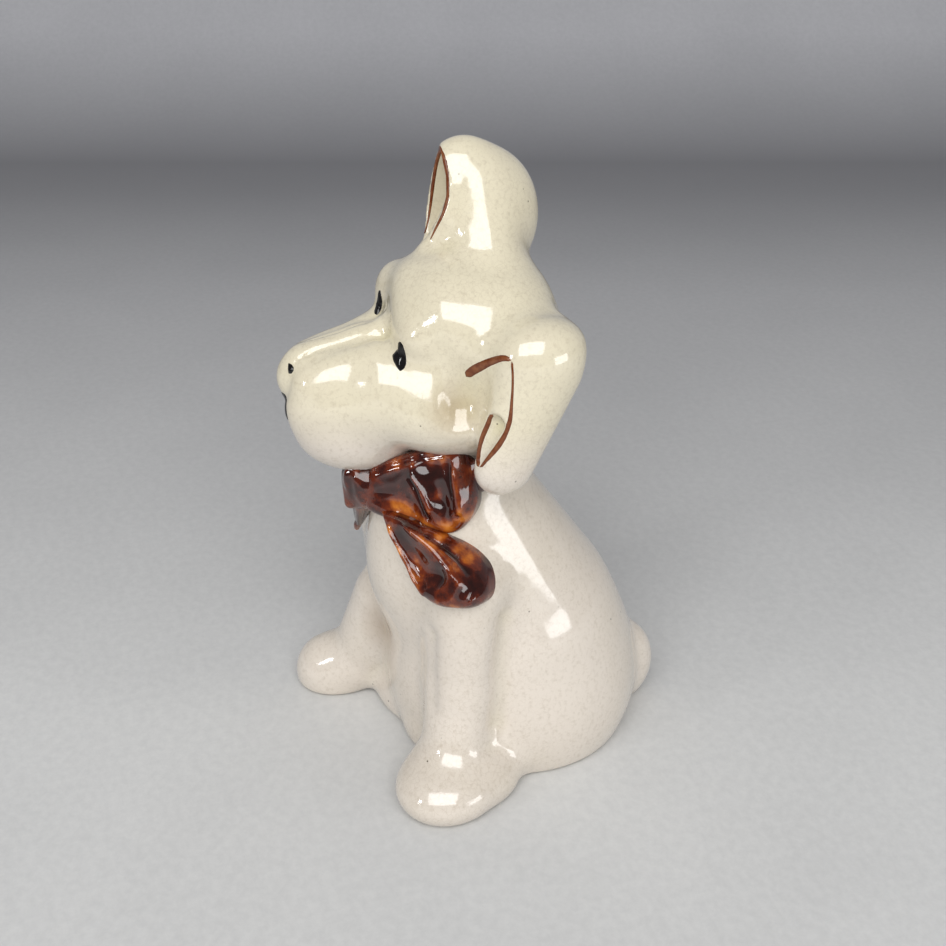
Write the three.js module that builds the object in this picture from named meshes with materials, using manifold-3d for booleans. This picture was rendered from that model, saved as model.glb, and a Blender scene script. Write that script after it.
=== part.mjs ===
// A small seated puppy in glazed earthenware, with one ear up, one ear folded and a neck bow.
// Millimetres, +Z up. The dog faces -Y and its own left is +X. The ground is z = 0.
// Each piece is a casting or a press-moulded sprig, joined to its neighbours along a thin luting line.
// The rounded forms are distance fields: blended ellipsoids and tapered limbs, meshed at a stated step.

import * as THREE from 'three';
import { mergeVertices } from 'three/addons/utils/BufferGeometryUtils.js';
import Module from 'manifold-3d';

const wasm = await Module();
wasm.setup();

// Driving dimensions.
const lutingGap = 0.3;
const castWall = 5;
const drainHoleRadius = 9;
const enamelThickness = 0.5;
const brushLineWidth = 1.5;

// Mesh steps: the size of the facets on each kind of piece.
const castingStep = 4.4;
const headStep = 3.3;
const limbStep = 3.6;
const earStep = 2.8;
const earRimStep = 2.1;
const bowStep = 2.3;
const hollowStep = 6;

// Where the head sits, and how it turns to the dog's right and tips towards its left side.
const headCentre = [-2, -18, 106];
const headYaw = -10;
const headTip = 6;

// Room left round a piece where its form is worked out: close, usual and wide.
const closeMargin = 6;
const margin = 8;
const wideMargin = 16;

// The body casting.
const belly = { centre: [0, -5.4, 11.5], radii: [30.2, 32.8, 29.5] };
const trunk = { from: [0, -8.5, 31.8], to: [0, -21.8, 66], fromRadius: 27.5, toRadius: 19 };
const chest = { centre: [0, -25.3, 50], radii: [16.9, 17.5, 22] };
const haunch = { centre: [15.3, -5.5, 10.3], radii: [15.3, 20, 18.4] };
const innerToe = { centre: [6.9, -27.1, 2.9], radii: [8, 8.8, 9.5] };
const neck = { from: [0, -20, 66], to: [0, -17, 90], fromRadius: 15, toRadius: 13 };

// The skull and face, in the head's own axes. The rolls run along both sides of the muzzle's bridge.
const skull = { centre: [0, 2.7, 1.7], radii: [21.2, 19.2, 22] };
const forehead = { centre: [0, -5, 8.4], radii: [17, 11.2, 12.2] };
const brow = { centre: [8.5, -13.7, 9], radii: [8, 5.3, 6.5] };
const cheek = { centre: [13, -3, -10], radii: [10, 14, 11] };
const flew = { centre: [5.1, -25.5, -12], radii: [9.2, 16, 12.9] };
const jaw = { centre: [0, -23, -19.8], radii: [13.6, 15.9, 11] };
const muzzleRoll = [
  { at: [4.9, -12, 3.6], radius: 5.1 },
  { at: [4.7, -20.5, 0.7], radius: 4.6 },
  { at: [4.2, -35.1, -4.9], radius: 4.8 },
];
const bridge = [
  { at: [0, -16, 5], radius: 4.5 },
  { at: [0, -24, 0.6], radius: 4.3 },
  { at: [0, -36.5, -3.2], radius: 5 },
];
const muzzleRoot = { centre: [9.1, -13.8, -7.9], radii: [8, 12.8, 11.2] };
const nose = { centre: [0, -38.4, -6.1], radii: [4.6, 4.7, 6.1] };

// The ears. The standing one is cut flat to the front and hollowed.
const standingEar = { centre: [-10.4, -13.8, 133.6], radii: [8.4, 12.2, 17.6], lean: 10 };
const standingEarRoot = { centre: [-12.1, -8, 132.1], radii: [10.2, 10.9, 14.1] };
const standingEarFront = { point: [0, -21, 149], facing: [0, 0.984, -0.179] };
const standingEarHollow = { centre: [-10.8, -22.8, 137.8], radii: [5.9, 9.1, 11.4], lean: 10 };
const foldedEar = {
  from: [23.2, -9.9, 109], to: [24.8, -18.3, 87.1], fromRadius: 9.9, toRadius: 6.8, flatness: 1.5,
};
const foldedEarRoot = { centre: [17.4, -8.8, 113.4], radii: [10.1, 10.3, 5.5] };
const foldedEarFold = { from: [27.5, -22, 98], to: [27.5, -24, 90], fromRadius: 2.4, toRadius: 1.4 };
const foldedEarHollow = { centre: [20.5, -25, 105.5], radii: [5, 5, 6] };

// The legs, feet and tail. The right foreleg stands further forward.
const leftLeg = { shoulder: [19.5, -24.5, 48], wrist: [22, -28, 26], ankle: [25.2, -30.7, 10] };
const leftPaw = { centre: [29.2, -33.2, 4.6], radii: [12.5, 14.1, 8.2], yaw: 30 };
const rightLeg = { shoulder: [-16, -30, 52], wrist: [-18.5, -33, 28.5], ankle: [-21.7, -40.9, 8.5] };
const rightPaw = { centre: [-25, -47.7, 3.4], radii: [8.9, 10.2, 10.4], yaw: -20 };
const rightPawHeel = { centre: [-13.7, -33.2, 4], radii: [10.7, 6.3, 6.1] };
const rightOuterToe = { centre: [-31.4, -43.5, 2.9], radii: [7.7, 10.2, 6.6] };
const shoulderRadius = 9.5;
const wristRadius = 8.4;
const ankleRadius = 8.2;
const hindFoot = { centre: [27, -25, 4.2], radii: [10.6, 10.4, 8.2] };
const tailStump = { centre: [5.6, 21.5, 10], radii: [7.9, 10.2, 12.6] };

// How softly each form runs into the next, as the width of the fillet between them.
const fillet = {
  trunk: 12, chest: 8, toes: 4, leg: 5, hollow: 3,
  skull: 7, brow: 5, cheek: 9, muzzle: 6, roll: 3, bridge: 1.5, face: 4, nose: 1.2,
  ear: 5, earRim: 1.5, earFold: 2,
  bow: 3, bowHollow: 1.2, bowTailEdge: 4,
};

// The neck ribbon: a strip of clay over the joint of head and torso, higher at the nape.
const ribbonCentre = [0, -20, 81];
const ribbonRise = 0.3;
const ribbonRadius = 15.8;
const ribbonHalfThickness = 2.4;
const ribbonHalfHeight = 4.5;

// The bow, in axes along the piece, out from the chest and across.
const knot = { centre: [-1, -42.5, 73.5], radii: [5, 5.2, 6.3] };
const loopStart = [1, -42.5, 73];
const loopAlong = [17, 20.5, 3];
const loopOut = [0.75, -0.65, 0.1];
const loopNeck = { from: [1, 0.5, 0], to: [10, 1, 0], fromRadius: 3.5, toRadius: 5.5 };
const loopBelly = { centre: [15.5, 0, 0.5], radii: [12.5, 5.2, 10] };
const loopEnd = { centre: [23, 0, 1], radii: [5, 5, 10.5] };
const loopHollow = { centre: [9.5, 6.5, -1.5], radii: [6.5, 3.2, 2.6] };
const loopFolds = [
  { from: [8, 6.8, 6], to: [18.5, 6.4, -5], fromRadius: 1.6, toRadius: 1.6 },
  { from: [17.5, 6.4, 9], to: [24, 5.6, -8], fromRadius: 1.8, toRadius: 1.8 },
];
const tailStart = [2, -41.5, 68];
const tailAlong = [22, 13.5, -15];
const tailOut = [0.6, -0.72, 0.35];
const tailLeaf = { from: [2, 0, 0], to: [20, 0, -1.5], fromRadius: 3, toRadius: 8.2 };
const tailLobe = { centre: [24, 0, 5], radii: [7.5, 7, 6.5] };
const tailHalfThickness = 3.6;
const tailDish = { centre: [15, 5.2, -3.8], radii: [10, 3.4, 3.6] };
const shortTail = { from: [-3, -42, 69], to: [-10, -41, 59], fromRadius: 3.6, toRadius: 1.8 };

// The enamel marks: where each is painted, in the head's own axes, and its half width and height.
const eyeMark = { place: [12.4, -19, 4.7], halfWidth: 1.9, halfHeight: 3.7 };
const nostrilMark = { place: [3.2, -41.5, -2], halfWidth: 1.1, halfHeight: 1.3 };
const mouthMark = { place: [0.5, -44, -9.5], halfWidth: 2.6, halfHeight: 3 };

// The brushed lines round the ears, as points that the brush passes, in the figurine's axes.
const upperEarLine = [[18.5, -23, 108.6], [21, -21, 111.5], [24.5, -19.5, 113.8]];
const edgeEarLine = [[28.5, -19, 103], [29.5, -20, 98], [28.5, -22.5, 92], [27, -25.5, 88.5]];
const frontEarLine = [[24.5, -23.5, 101], [24, -25, 97], [24.3, -27, 91.5]];
const standingEarLine = [[-5, -24.6, 130], [-4.4, -22.5, 136.4], [-4.2, -21, 144.1], [-7, -20.5, 147.5]];

const radians = THREE.MathUtils.degToRad;

// Small vector steps on [x, y, z] lists.
const minus = (a, b) => [a[0] - b[0], a[1] - b[1], a[2] - b[2]];
const plus = (a, b) => [a[0] + b[0], a[1] + b[1], a[2] + b[2]];
const times = (a, s) => [a[0] * s, a[1] * s, a[2] * s];
const dot = (a, b) => a[0] * b[0] + a[1] * b[1] + a[2] * b[2];
const cross = (a, b) => [a[1] * b[2] - a[2] * b[1], a[2] * b[0] - a[0] * b[2], a[0] * b[1] - a[1] * b[0]];
const unit = (a) => times(a, 1 / Math.hypot(...a));

// A placed set of three axes, with points carried into it and out of it.
function axesAt(origin, x, y, z) {
  return {
    inward: (p) => [x, y, z].map((axis) => dot(minus(p, origin), axis)),
    outward: (q) => plus(origin, plus(plus(times(x, q[0]), times(y, q[1])), times(z, q[2]))),
  };
}

// Axes turned about Z by yaw, then about their own X by lean, then about their own Y by tip.
function turnedAxes(origin, yaw, lean, tip) {
  const turn = new THREE.Euler(radians(lean), radians(tip), radians(yaw), 'ZXY');
  const columns = [0, 1, 2].map((i) => {
    const axis = new THREE.Vector3().setComponent(i, 1).applyEuler(turn);
    return [axis.x, axis.y, axis.z];
  });
  return axesAt(origin, ...columns);
}

// Axes along a piece, out of it and across it.
function pieceAxes(origin, along, out) {
  const first = unit(along);
  const second = unit(minus(out, times(first, dot(out, first))));
  return axesAt(origin, first, second, cross(second, first));
}

// Distance fields: negative inside, in millimetres near the surface.
function ellipsoid({ centre, radii, yaw = 0, lean = 0 }) {
  const axes = turnedAxes(centre, yaw, lean, 0);
  return (p) => {
    const q = axes.inward(p);
    const scaled = Math.hypot(q[0] / radii[0], q[1] / radii[1], q[2] / radii[2]);
    const slope = Math.hypot(q[0] / radii[0] ** 2, q[1] / radii[1] ** 2, q[2] / radii[2] ** 2);
    return scaled * (scaled - 1) / Math.max(slope, 1e-6);
  };
}

// A limb with round ends of two radii.
function taperedLimb({ from, to, fromRadius, toRadius }) {
  const run = minus(to, from);
  const length = Math.hypot(...run);
  const along = times(run, 1 / length);
  const sine = (fromRadius - toRadius) / length;
  const cosine = Math.sqrt(1 - sine * sine);
  return (p) => {
    const q = minus(p, from);
    const height = dot(q, along);
    const radius = Math.sqrt(Math.max(dot(q, q) - height * height, 0));
    const side = height * cosine - radius * sine;
    if (side < 0) return Math.hypot(radius, height) - fromRadius;
    if (side > length * cosine) return Math.hypot(radius, height - length) - toRadius;
    return radius * cosine + height * sine - fromRadius;
  };
}

// A limb through a list of joints, each with its own radius.
function jointedLimb(joints) {
  const bones = joints.slice(1).map((joint, i) => taperedLimb({
    from: joints[i].at, to: joint.at, fromRadius: joints[i].radius, toRadius: joint.radius,
  }));
  return (p) => Math.min(...bones.map((bone) => bone(p)));
}

const softMin = (a, b, soft) => Math.min(a, b) - Math.max(soft - Math.abs(a - b), 0) ** 2 / (4 * soft);
const blend = (soft, ...fields) => (p) => fields.map((field) => field(p)).reduce((a, b) => softMin(a, b, soft));
const carve = (soft, field, tool) => (p) => -softMin(-field(p), tool(p), soft);
const common = (soft, a, b) => (p) => -softMin(-a(p), -b(p), soft);
const grown = (field, by) => (p) => field(p) - by;
const bothSides = (field) => (p) => field([Math.abs(p[0]), p[1], p[2]]);
const otherSide = (field) => (p) => field([-p[0], p[1], p[2]]);
const within = (axes, field) => (p) => field(axes.inward(p));

// The same form on the other side of the body.
const mirrored = (form) => ({ ...form, centre: [-form.centre[0], form.centre[1], form.centre[2]] });

// The slope of a field, and the step from a point to the field's surface.
function slopeOf(field, p) {
  const reach = 0.05;
  return [0, 1, 2].map((i) => {
    const ahead = [...p];
    const behind = [...p];
    ahead[i] += reach;
    behind[i] -= reach;
    return (field(ahead) - field(behind)) / (2 * reach);
  });
}

function settle(field, start, rounds, longest) {
  let p = start;
  for (let round = 0; round < rounds; round += 1) {
    const slope = slopeOf(field, p);
    const move = times(slope, -field(p) / Math.max(dot(slope, slope), 0.05));
    const length = Math.hypot(...move);
    p = plus(p, length > longest ? times(move, longest / length) : move);
  }
  return p;
}

// A unit cell: its corners, its edges as pairs of corners, and its faces as corners in order round them.
const cellCorners = Array.from({ length: 8 }, (_, c) => [c & 1, (c >> 1) & 1, (c >> 2) & 1]);
const cellEdges = cellCorners.flatMap((corner, c) => (
  [0, 1, 2].filter((axis) => corner[axis] === 0).map((axis) => [c, c + (1 << axis)])
));
const cellFaces = [0, 1, 2].flatMap((axis) => [0, 1].map((side) => {
  const [first, second] = [1 << ((axis + 1) % 3), 1 << ((axis + 2) % 3)];
  const base = side << axis;
  return [base, base + first, base + first + second, base + second];
}));
const edgeBetween = (a, b) => cellEdges.findIndex(([c, d]) => (c === a && d === b) || (c === b && d === a));

// The sheets of surface in a cell: lists of crossed edges. On a face with four crossings the inside
// corners stay apart, so that cells which share the face agree and the mesh stays closed.
function sheetsOf(isInside) {
  const leader = cellEdges.map((edge, e) => e);
  const leaderOf = (e) => (leader[e] === e ? e : leaderOf(leader[e]));
  for (const face of cellFaces) {
    const sides = face.map((corner, n) => edgeBetween(corner, face[(n + 1) % 4]));
    const crossed = sides.filter((e) => isInside[cellEdges[e][0]] !== isInside[cellEdges[e][1]]);
    if (crossed.length === 2) leader[leaderOf(crossed[0])] = leaderOf(crossed[1]);
    if (crossed.length === 4) {
      face.forEach((corner, n) => {
        if (isInside[corner]) leader[leaderOf(sides[n])] = leaderOf(sides[(n + 3) % 4]);
      });
    }
  }
  const sheets = new Map();
  cellEdges.forEach(([a, b], e) => {
    if (isInside[a] === isInside[b]) return;
    sheets.set(leaderOf(e), [...(sheets.get(leaderOf(e)) ?? []), e]);
  });
  return [...sheets.values()];
}
const sheetTable = Array.from({ length: 256 }, (_, code) => (
  sheetsOf(cellCorners.map((corner, c) => ((code >> c) & 1) === 1))
));

// Meshes a field inside a box: one vertex for each sheet of surface in a cell, settled onto the surface.
function netGeometry(field, box, step) {
  const low = box.min.map((v) => Math.floor(v / step) * step);
  const [nx, ny, nz] = box.max.map((v, i) => Math.ceil((v - low[i]) / step) + 1);
  const at = (i, j, k) => (i * ny + j) * nz + k;
  const values = new Float32Array(nx * ny * nz);
  for (let i = 0; i < nx; i += 1) {
    for (let j = 0; j < ny; j += 1) {
      for (let k = 0; k < nz; k += 1) {
        values[at(i, j, k)] = field([low[0] + i * step, low[1] + j * step, low[2] + k * step]);
      }
    }
  }
  const positions = [];
  const cellVertices = new Map();

  function addCell(i, j, k) {
    const cell = cellCorners.map(([a, b, c]) => values[at(i + a, j + b, k + c)]);
    const code = cell.reduce((sum, v, c) => sum + (v < 0 ? 1 << c : 0), 0);
    if (code === 0 || code === 255) return;
    const vertices = Array(cellEdges.length).fill(-1);
    for (const sheet of sheetTable[code]) {
      const crossings = sheet.map((e) => {
        const [a, b] = cellEdges[e];
        const share = cell[a] / (cell[a] - cell[b]);
        return plus(times(cellCorners[a], 1 - share), times(cellCorners[b], share));
      });
      const spot = plus([i, j, k], times(crossings.reduce(plus), 1 / crossings.length));
      sheet.forEach((e) => { vertices[e] = positions.length / 3; });
      positions.push(...settle(field, plus(low, times(spot, step)), 3, step / 2));
    }
    cellVertices.set(at(i, j, k), vertices);
  }
  for (let i = 0; i < nx - 1; i += 1) {
    for (let j = 0; j < ny - 1; j += 1) {
      for (let k = 0; k < nz - 1; k += 1) addCell(i, j, k);
    }
  }

  const triangles = [];
  const point = (v) => positions.slice(3 * v, 3 * v + 3);
  const addQuad = (a, b, c, d) => {
    const shortFirst = Math.hypot(...minus(point(a), point(c))) < Math.hypot(...minus(point(b), point(d)));
    if (shortFirst) triangles.push(a, b, c, a, c, d);
    else triangles.push(a, b, d, b, c, d);
  };
  const cornerIn = (node, cell) => (node[0] - cell[0]) + 2 * (node[1] - cell[1]) + 4 * (node[2] - cell[2]);
  const size = [nx, ny, nz];
  for (let axis = 0; axis < 3; axis += 1) {
    const second = (axis + 1) % 3;
    const third = (axis + 2) % 3;
    const node = [0, 0, 0];
    for (node[axis] = 0; node[axis] < size[axis] - 1; node[axis] += 1) {
      for (node[second] = 1; node[second] < size[second] - 1; node[second] += 1) {
        for (node[third] = 1; node[third] < size[third] - 1; node[third] += 1) {
          const next = [...node];
          next[axis] += 1;
          const hereInside = values[at(...node)] < 0;
          if (hereInside === (values[at(...next)] < 0)) continue;
          const around = [[1, 1], [0, 1], [0, 0], [1, 0]].map(([b, c]) => {
            const cell = [...node];
            cell[second] -= b;
            cell[third] -= c;
            const edge = edgeBetween(cornerIn(node, cell), cornerIn(next, cell));
            return cellVertices.get(at(...cell))[edge];
          });
          if (hereInside) addQuad(...around);
          else addQuad(around[0], around[3], around[2], around[1]);
        }
      }
    }
  }
  const geometry = new THREE.BufferGeometry();
  geometry.setAttribute('position', new THREE.Float32BufferAttribute(positions, 3));
  geometry.setIndex(triangles);
  return geometry;
}

// Closed geometry to a solid. Only the ready-made shapes need their shared corners merged.
function solidOf(geometry) {
  const vertProperties = new Float32Array(geometry.getAttribute('position').array);
  const triVerts = new Uint32Array(geometry.getIndex().array);
  return new wasm.Manifold(new wasm.Mesh({ numProp: 3, vertProperties, triVerts }));
}

function solidOfShape(geometry) {
  geometry.deleteAttribute('normal');
  geometry.deleteAttribute('uv');
  return solidOf(mergeVertices(geometry, 1e-4));
}

// The largest connected piece of a solid, so that no crumb is left by a cut.
function geometryOf(solid) {
  const { vertProperties, triVerts, numProp } = solid.getMesh();
  const leader = Array.from({ length: vertProperties.length / numProp }, (_, i) => i);
  const leaderOf = (v) => {
    let top = v;
    while (leader[top] !== top) top = leader[top];
    leader[v] = top;
    return top;
  };
  for (let t = 0; t < triVerts.length; t += 3) {
    leader[leaderOf(triVerts[t + 1])] = leaderOf(triVerts[t]);
    leader[leaderOf(triVerts[t + 2])] = leaderOf(triVerts[t]);
  }
  const volumes = new Map();
  const corner = (v) => Array.from(vertProperties.slice(v * numProp, v * numProp + 3));
  for (let t = 0; t < triVerts.length; t += 3) {
    const [a, b, c] = [corner(triVerts[t]), corner(triVerts[t + 1]), corner(triVerts[t + 2])];
    const top = leaderOf(triVerts[t]);
    volumes.set(top, (volumes.get(top) ?? 0) + dot(a, cross(b, c)) / 6);
  }
  const largest = [...volumes.entries()].reduce((best, entry) => (entry[1] > best[1] ? entry : best))[0];
  const kept = Array.from(triVerts).filter((v) => leaderOf(v) === largest);
  const used = [...new Set(kept)];
  const place = new Map(used.map((v, i) => [v, i]));
  const geometry = new THREE.BufferGeometry();
  geometry.setAttribute('position', new THREE.Float32BufferAttribute(used.flatMap(corner), 3));
  geometry.setIndex(kept.map((v) => place.get(v)));
  geometry.computeVertexNormals();
  return geometry;
}

// A box that holds the given points and a margin round them.
function boxRound(points, room) {
  return {
    min: [0, 1, 2].map((i) => Math.min(...points.map((p) => p[i])) - room),
    max: [0, 1, 2].map((i) => Math.max(...points.map((p) => p[i])) + room),
  };
}

const solidField = (field, box, step) => solidOf(netGeometry(field, box, step));

// A thick flat slab that fills everything on one side of a plane through a point.
function halfSpace(point, facing) {
  const reach = 400;
  const slab = new THREE.BoxGeometry(reach, reach, reach);
  slab.translate(0, 0, reach / 2);
  const up = new THREE.Vector3(0, 0, 1);
  slab.applyQuaternion(new THREE.Quaternion().setFromUnitVectors(up, new THREE.Vector3(...unit(facing))));
  slab.translate(...point);
  return solidOfShape(slab);
}

const belowGround = halfSpace([0, 0, 0], [0, 0, -1]);

// The head's own axes, and the tilted seam where head and torso meet under the ribbon.
const headAxes = turnedAxes(headCentre, headYaw, 0, headTip);
const seamUp = unit([0, -ribbonRise, 1]);
const aboveTorso = halfSpace(minus(ribbonCentre, times(seamUp, lutingGap / 2)), seamUp);
const belowHead = halfSpace(plus(ribbonCentre, times(seamUp, lutingGap / 2)), times(seamUp, -1));

// The body and head skins as fields.
const neckField = taperedLimb(neck);
const bodyField = blend(
  fillet.toes,
  blend(
    fillet.chest,
    blend(fillet.trunk, ellipsoid(belly), taperedLimb(trunk)),
    ellipsoid(chest),
    bothSides(ellipsoid(haunch)),
  ),
  neckField,
  bothSides(ellipsoid(innerToe)),
);

function faceField() {
  let face = blend(fillet.skull, ellipsoid(skull), ellipsoid(forehead));
  face = blend(fillet.brow, face, bothSides(ellipsoid(brow)));
  face = blend(fillet.cheek, face, bothSides(ellipsoid(cheek)));
  let muzzle = blend(fillet.muzzle, bothSides(ellipsoid(flew)), ellipsoid(jaw));
  muzzle = blend(fillet.roll, muzzle, bothSides(jointedLimb(muzzleRoll)));
  muzzle = blend(fillet.bridge, muzzle, jointedLimb(bridge));
  muzzle = blend(fillet.muzzle, muzzle, bothSides(ellipsoid(muzzleRoot)));
  face = blend(fillet.face, face, muzzle);
  return blend(fillet.nose, face, ellipsoid(nose));
}
const headField = within(headAxes, faceField());
const headAndNeckField = blend(fillet.toes, headField, neckField);

// Boxes that the body and head lie in.
const bodyBox = boxRound([
  [-belly.radii[0], belly.centre[1] - belly.radii[1], belly.centre[2] - belly.radii[2]],
  [belly.radii[0], belly.centre[1] + belly.radii[1], neck.to[2] + neck.toRadius],
], margin);
const headReach = Math.max(...skull.radii) + Math.max(...flew.radii) + margin;
const headBox = boxRound([headCentre, neck.from], headReach);

// Grown copies of the two castings: what is luted onto them is cut by these and keeps the luting gap.
const torsoSkin = solidField(bodyField, bodyBox, castingStep);
const torsoGrown = solidField(grown(bodyField, lutingGap), bodyBox, castingStep);
const headSkin = solidField(headAndNeckField, headBox, headStep);
const headGrown = solidField(grown(headAndNeckField, lutingGap), headBox, headStep);
const headGrownWide = solidField(grown(headAndNeckField, 2 * lutingGap), headBox, headStep);

// The torso: a hollow casting with a flat foot, a drain hole in its floor and an open neck.
function torso() {
  const room = blend(
    fillet.hollow,
    taperedLimb({
      from: [0, belly.centre[1], belly.radii[0] / 2 + castWall],
      to: trunk.to,
      fromRadius: belly.radii[0] / 2,
      toRadius: trunk.toRadius - castWall - 3,
    }),
    taperedLimb({
      from: trunk.to, to: neck.to, fromRadius: neck.fromRadius - castWall, toRadius: neck.toRadius - castWall,
    }),
  );
  const hollow = solidField(room, bodyBox, hollowStep);
  const drain = new THREE.CylinderGeometry(drainHoleRadius, drainHoleRadius, 6 * castWall, 32);
  drain.rotateX(Math.PI / 2);
  drain.translate(0, belly.centre[1], 0);
  return torsoSkin.subtract(belowGround).subtract(aboveTorso).subtract(hollow).subtract(solidOfShape(drain));
}

// The head: a hollow casting, open at the neck. The muzzle is solid, as slip fills it.
function head() {
  const room = blend(
    fillet.hollow,
    within(headAxes, ellipsoid({ centre: skull.centre, radii: skull.radii.map((r) => r - castWall - 1) })),
    taperedLimb({
      from: neck.from, to: neck.to, fromRadius: neck.fromRadius - castWall, toRadius: neck.toRadius - castWall,
    }),
  );
  return headSkin.subtract(belowHead).subtract(solidField(room, headBox, hollowStep));
}

// Both ears are luted onto the head casting, so its grown copy cuts their roots.
const beyond = ({ point, facing }) => (p) => dot(minus(p, point), unit(facing));
const standingEarWhole = blend(fillet.ear, ellipsoid(standingEar), ellipsoid(standingEarRoot));
const standingEarCut = carve(fillet.earRim, standingEarWhole, beyond(standingEarFront));
const standingEarField = carve(fillet.earRim, standingEarCut, ellipsoid(standingEarHollow));
const standingEarBox = boxRound([standingEar.centre], standingEar.radii[2] + closeMargin);

function foldedEarFlap() {
  const { from, to, flatness } = foldedEar;
  const flap = taperedLimb(foldedEar);
  const middle = (from[0] + to[0]) / 2;
  const flat = (p) => flap([middle + (p[0] - middle) * flatness, p[1], p[2]]) / Math.sqrt(flatness);
  const fold = blend(fillet.earFold, taperedLimb(foldedEarFold), ellipsoid(foldedEarHollow));
  return carve(fillet.earRim, blend(fillet.ear, flat, ellipsoid(foldedEarRoot)), fold);
}
const foldedEarField = foldedEarFlap();
const foldedEarBox = boxRound([foldedEar.from, foldedEar.to], foldedEar.fromRadius + margin);

const standingEarSolid = solidField(standingEarField, standingEarBox, earRimStep).subtract(headGrown);
const foldedEarSolid = solidField(foldedEarField, foldedEarBox, earStep).subtract(headGrown);
const foldedEarGrown = solidField(grown(foldedEarField, lutingGap), foldedEarBox, earStep);

// The forelegs: each a limb that runs into its paw.
function forelegField(leg, ...pawForms) {
  const limb = jointedLimb([
    { at: leg.shoulder, radius: shoulderRadius },
    { at: leg.wrist, radius: wristRadius },
    { at: leg.ankle, radius: ankleRadius },
  ]);
  return blend(fillet.leg, limb, ...pawForms.map((form) => ellipsoid(form)));
}
const forelegBox = (leg, paw) => boxRound([leg.shoulder, [paw.centre[0], paw.centre[1], 0]], wideMargin);
const leftLegField = forelegField(leftLeg, leftPaw);
const rightLegField = forelegField(rightLeg, rightPaw, rightPawHeel);

function foreleg(field, box) {
  return solidField(field, box, limbStep).subtract(torsoGrown).subtract(belowGround);
}
const leftLegBox = forelegBox(leftLeg, leftPaw);
const rightLegBox = forelegBox(rightLeg, rightPaw);
const leftLegGrown = solidField(grown(leftLegField, lutingGap), leftLegBox, limbStep);
const rightLegGrown = solidField(grown(rightLegField, lutingGap), rightLegBox, limbStep);

// A foot, toe or tail stump: one rounded form on the ground, cut by what it is luted to.
const formBox = (form) => boxRound([form.centre], Math.max(...form.radii) + closeMargin);
function groundForm(form, ...neighbours) {
  const whole = solidField(ellipsoid(form), formBox(form), limbStep).subtract(belowGround);
  return neighbours.reduce((solid, neighbour) => solid.subtract(neighbour), whole);
}
const rightFoot = mirrored(hindFoot);
const rightFootGrown = solidField(grown(ellipsoid(rightFoot), lutingGap), formBox(rightFoot), limbStep);

// The neck ribbon: an oval section swept round the tilted seam.
function ribbonField(p) {
  const q = minus(p, ribbonCentre);
  const height = q[2] - ribbonRise * q[1];
  const out = Math.hypot(q[0], q[1]) - ribbonRadius;
  return (Math.hypot(out / ribbonHalfThickness, height / ribbonHalfHeight) - 1) * ribbonHalfThickness;
}
const ribbonBox = boxRound([ribbonCentre], ribbonRadius + ribbonHalfHeight + closeMargin);
const ribbonSolid = solidField(ribbonField, ribbonBox, bowStep).subtract(torsoGrown).subtract(headGrownWide);
const ribbonGrown = solidField(grown(ribbonField, lutingGap), ribbonBox, bowStep);

// The bow: a knot, two folded loops, one broad tail with two lobes and one short tail.
const bowBox = boxRound([loopStart, plus(loopStart, loopAlong), plus(tailStart, tailAlong)], wideMargin);
const bowBoxRight = {
  min: [-bowBox.max[0], bowBox.min[1], bowBox.min[2]],
  max: [-bowBox.min[0], bowBox.max[1], bowBox.max[2]],
};
const loopAxes = pieceAxes(loopStart, loopAlong, loopOut);
const tailAxes = pieceAxes(tailStart, tailAlong, tailOut);

function loopShape() {
  let loop = blend(fillet.bow, ellipsoid(loopBelly), taperedLimb(loopNeck), ellipsoid(loopEnd));
  loop = carve(fillet.bowHollow, loop, ellipsoid(loopHollow));
  for (const fold of loopFolds) loop = carve(fillet.bowHollow, loop, taperedLimb(fold));
  return within(loopAxes, loop);
}

function tailShape() {
  const slab = (q) => Math.abs(q[1]) - tailHalfThickness;
  const outline = blend(fillet.bow, taperedLimb(tailLeaf), ellipsoid(tailLobe));
  const leaf = common(fillet.bowTailEdge, outline, slab);
  return within(tailAxes, carve(fillet.bowHollow, leaf, ellipsoid(tailDish)));
}
const knotField = ellipsoid(knot);
const leftLoopField = loopShape();
const rightLoopField = otherSide(leftLoopField);
const leftTailField = tailShape();
const rightTailField = taperedLimb(shortTail);

const knotGrown = solidField(grown(knotField, lutingGap), bowBox, bowStep);
const leftLoopGrown = solidField(grown(leftLoopField, lutingGap), bowBox, bowStep);
const rightLoopGrown = solidField(grown(rightLoopField, lutingGap), bowBoxRight, bowStep);

function bowPiece(field, box, ...neighbours) {
  const seats = [torsoGrown, headGrownWide, ribbonGrown, ...neighbours];
  return seats.reduce((solid, seat) => solid.subtract(seat), solidField(field, box, bowStep));
}

// An enamel mark: a grid of points settled onto the skin, given thickness and closed all round.
const skinField = (p) => Math.min(headAndNeckField(p), standingEarField(p), foldedEarField(p));

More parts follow.
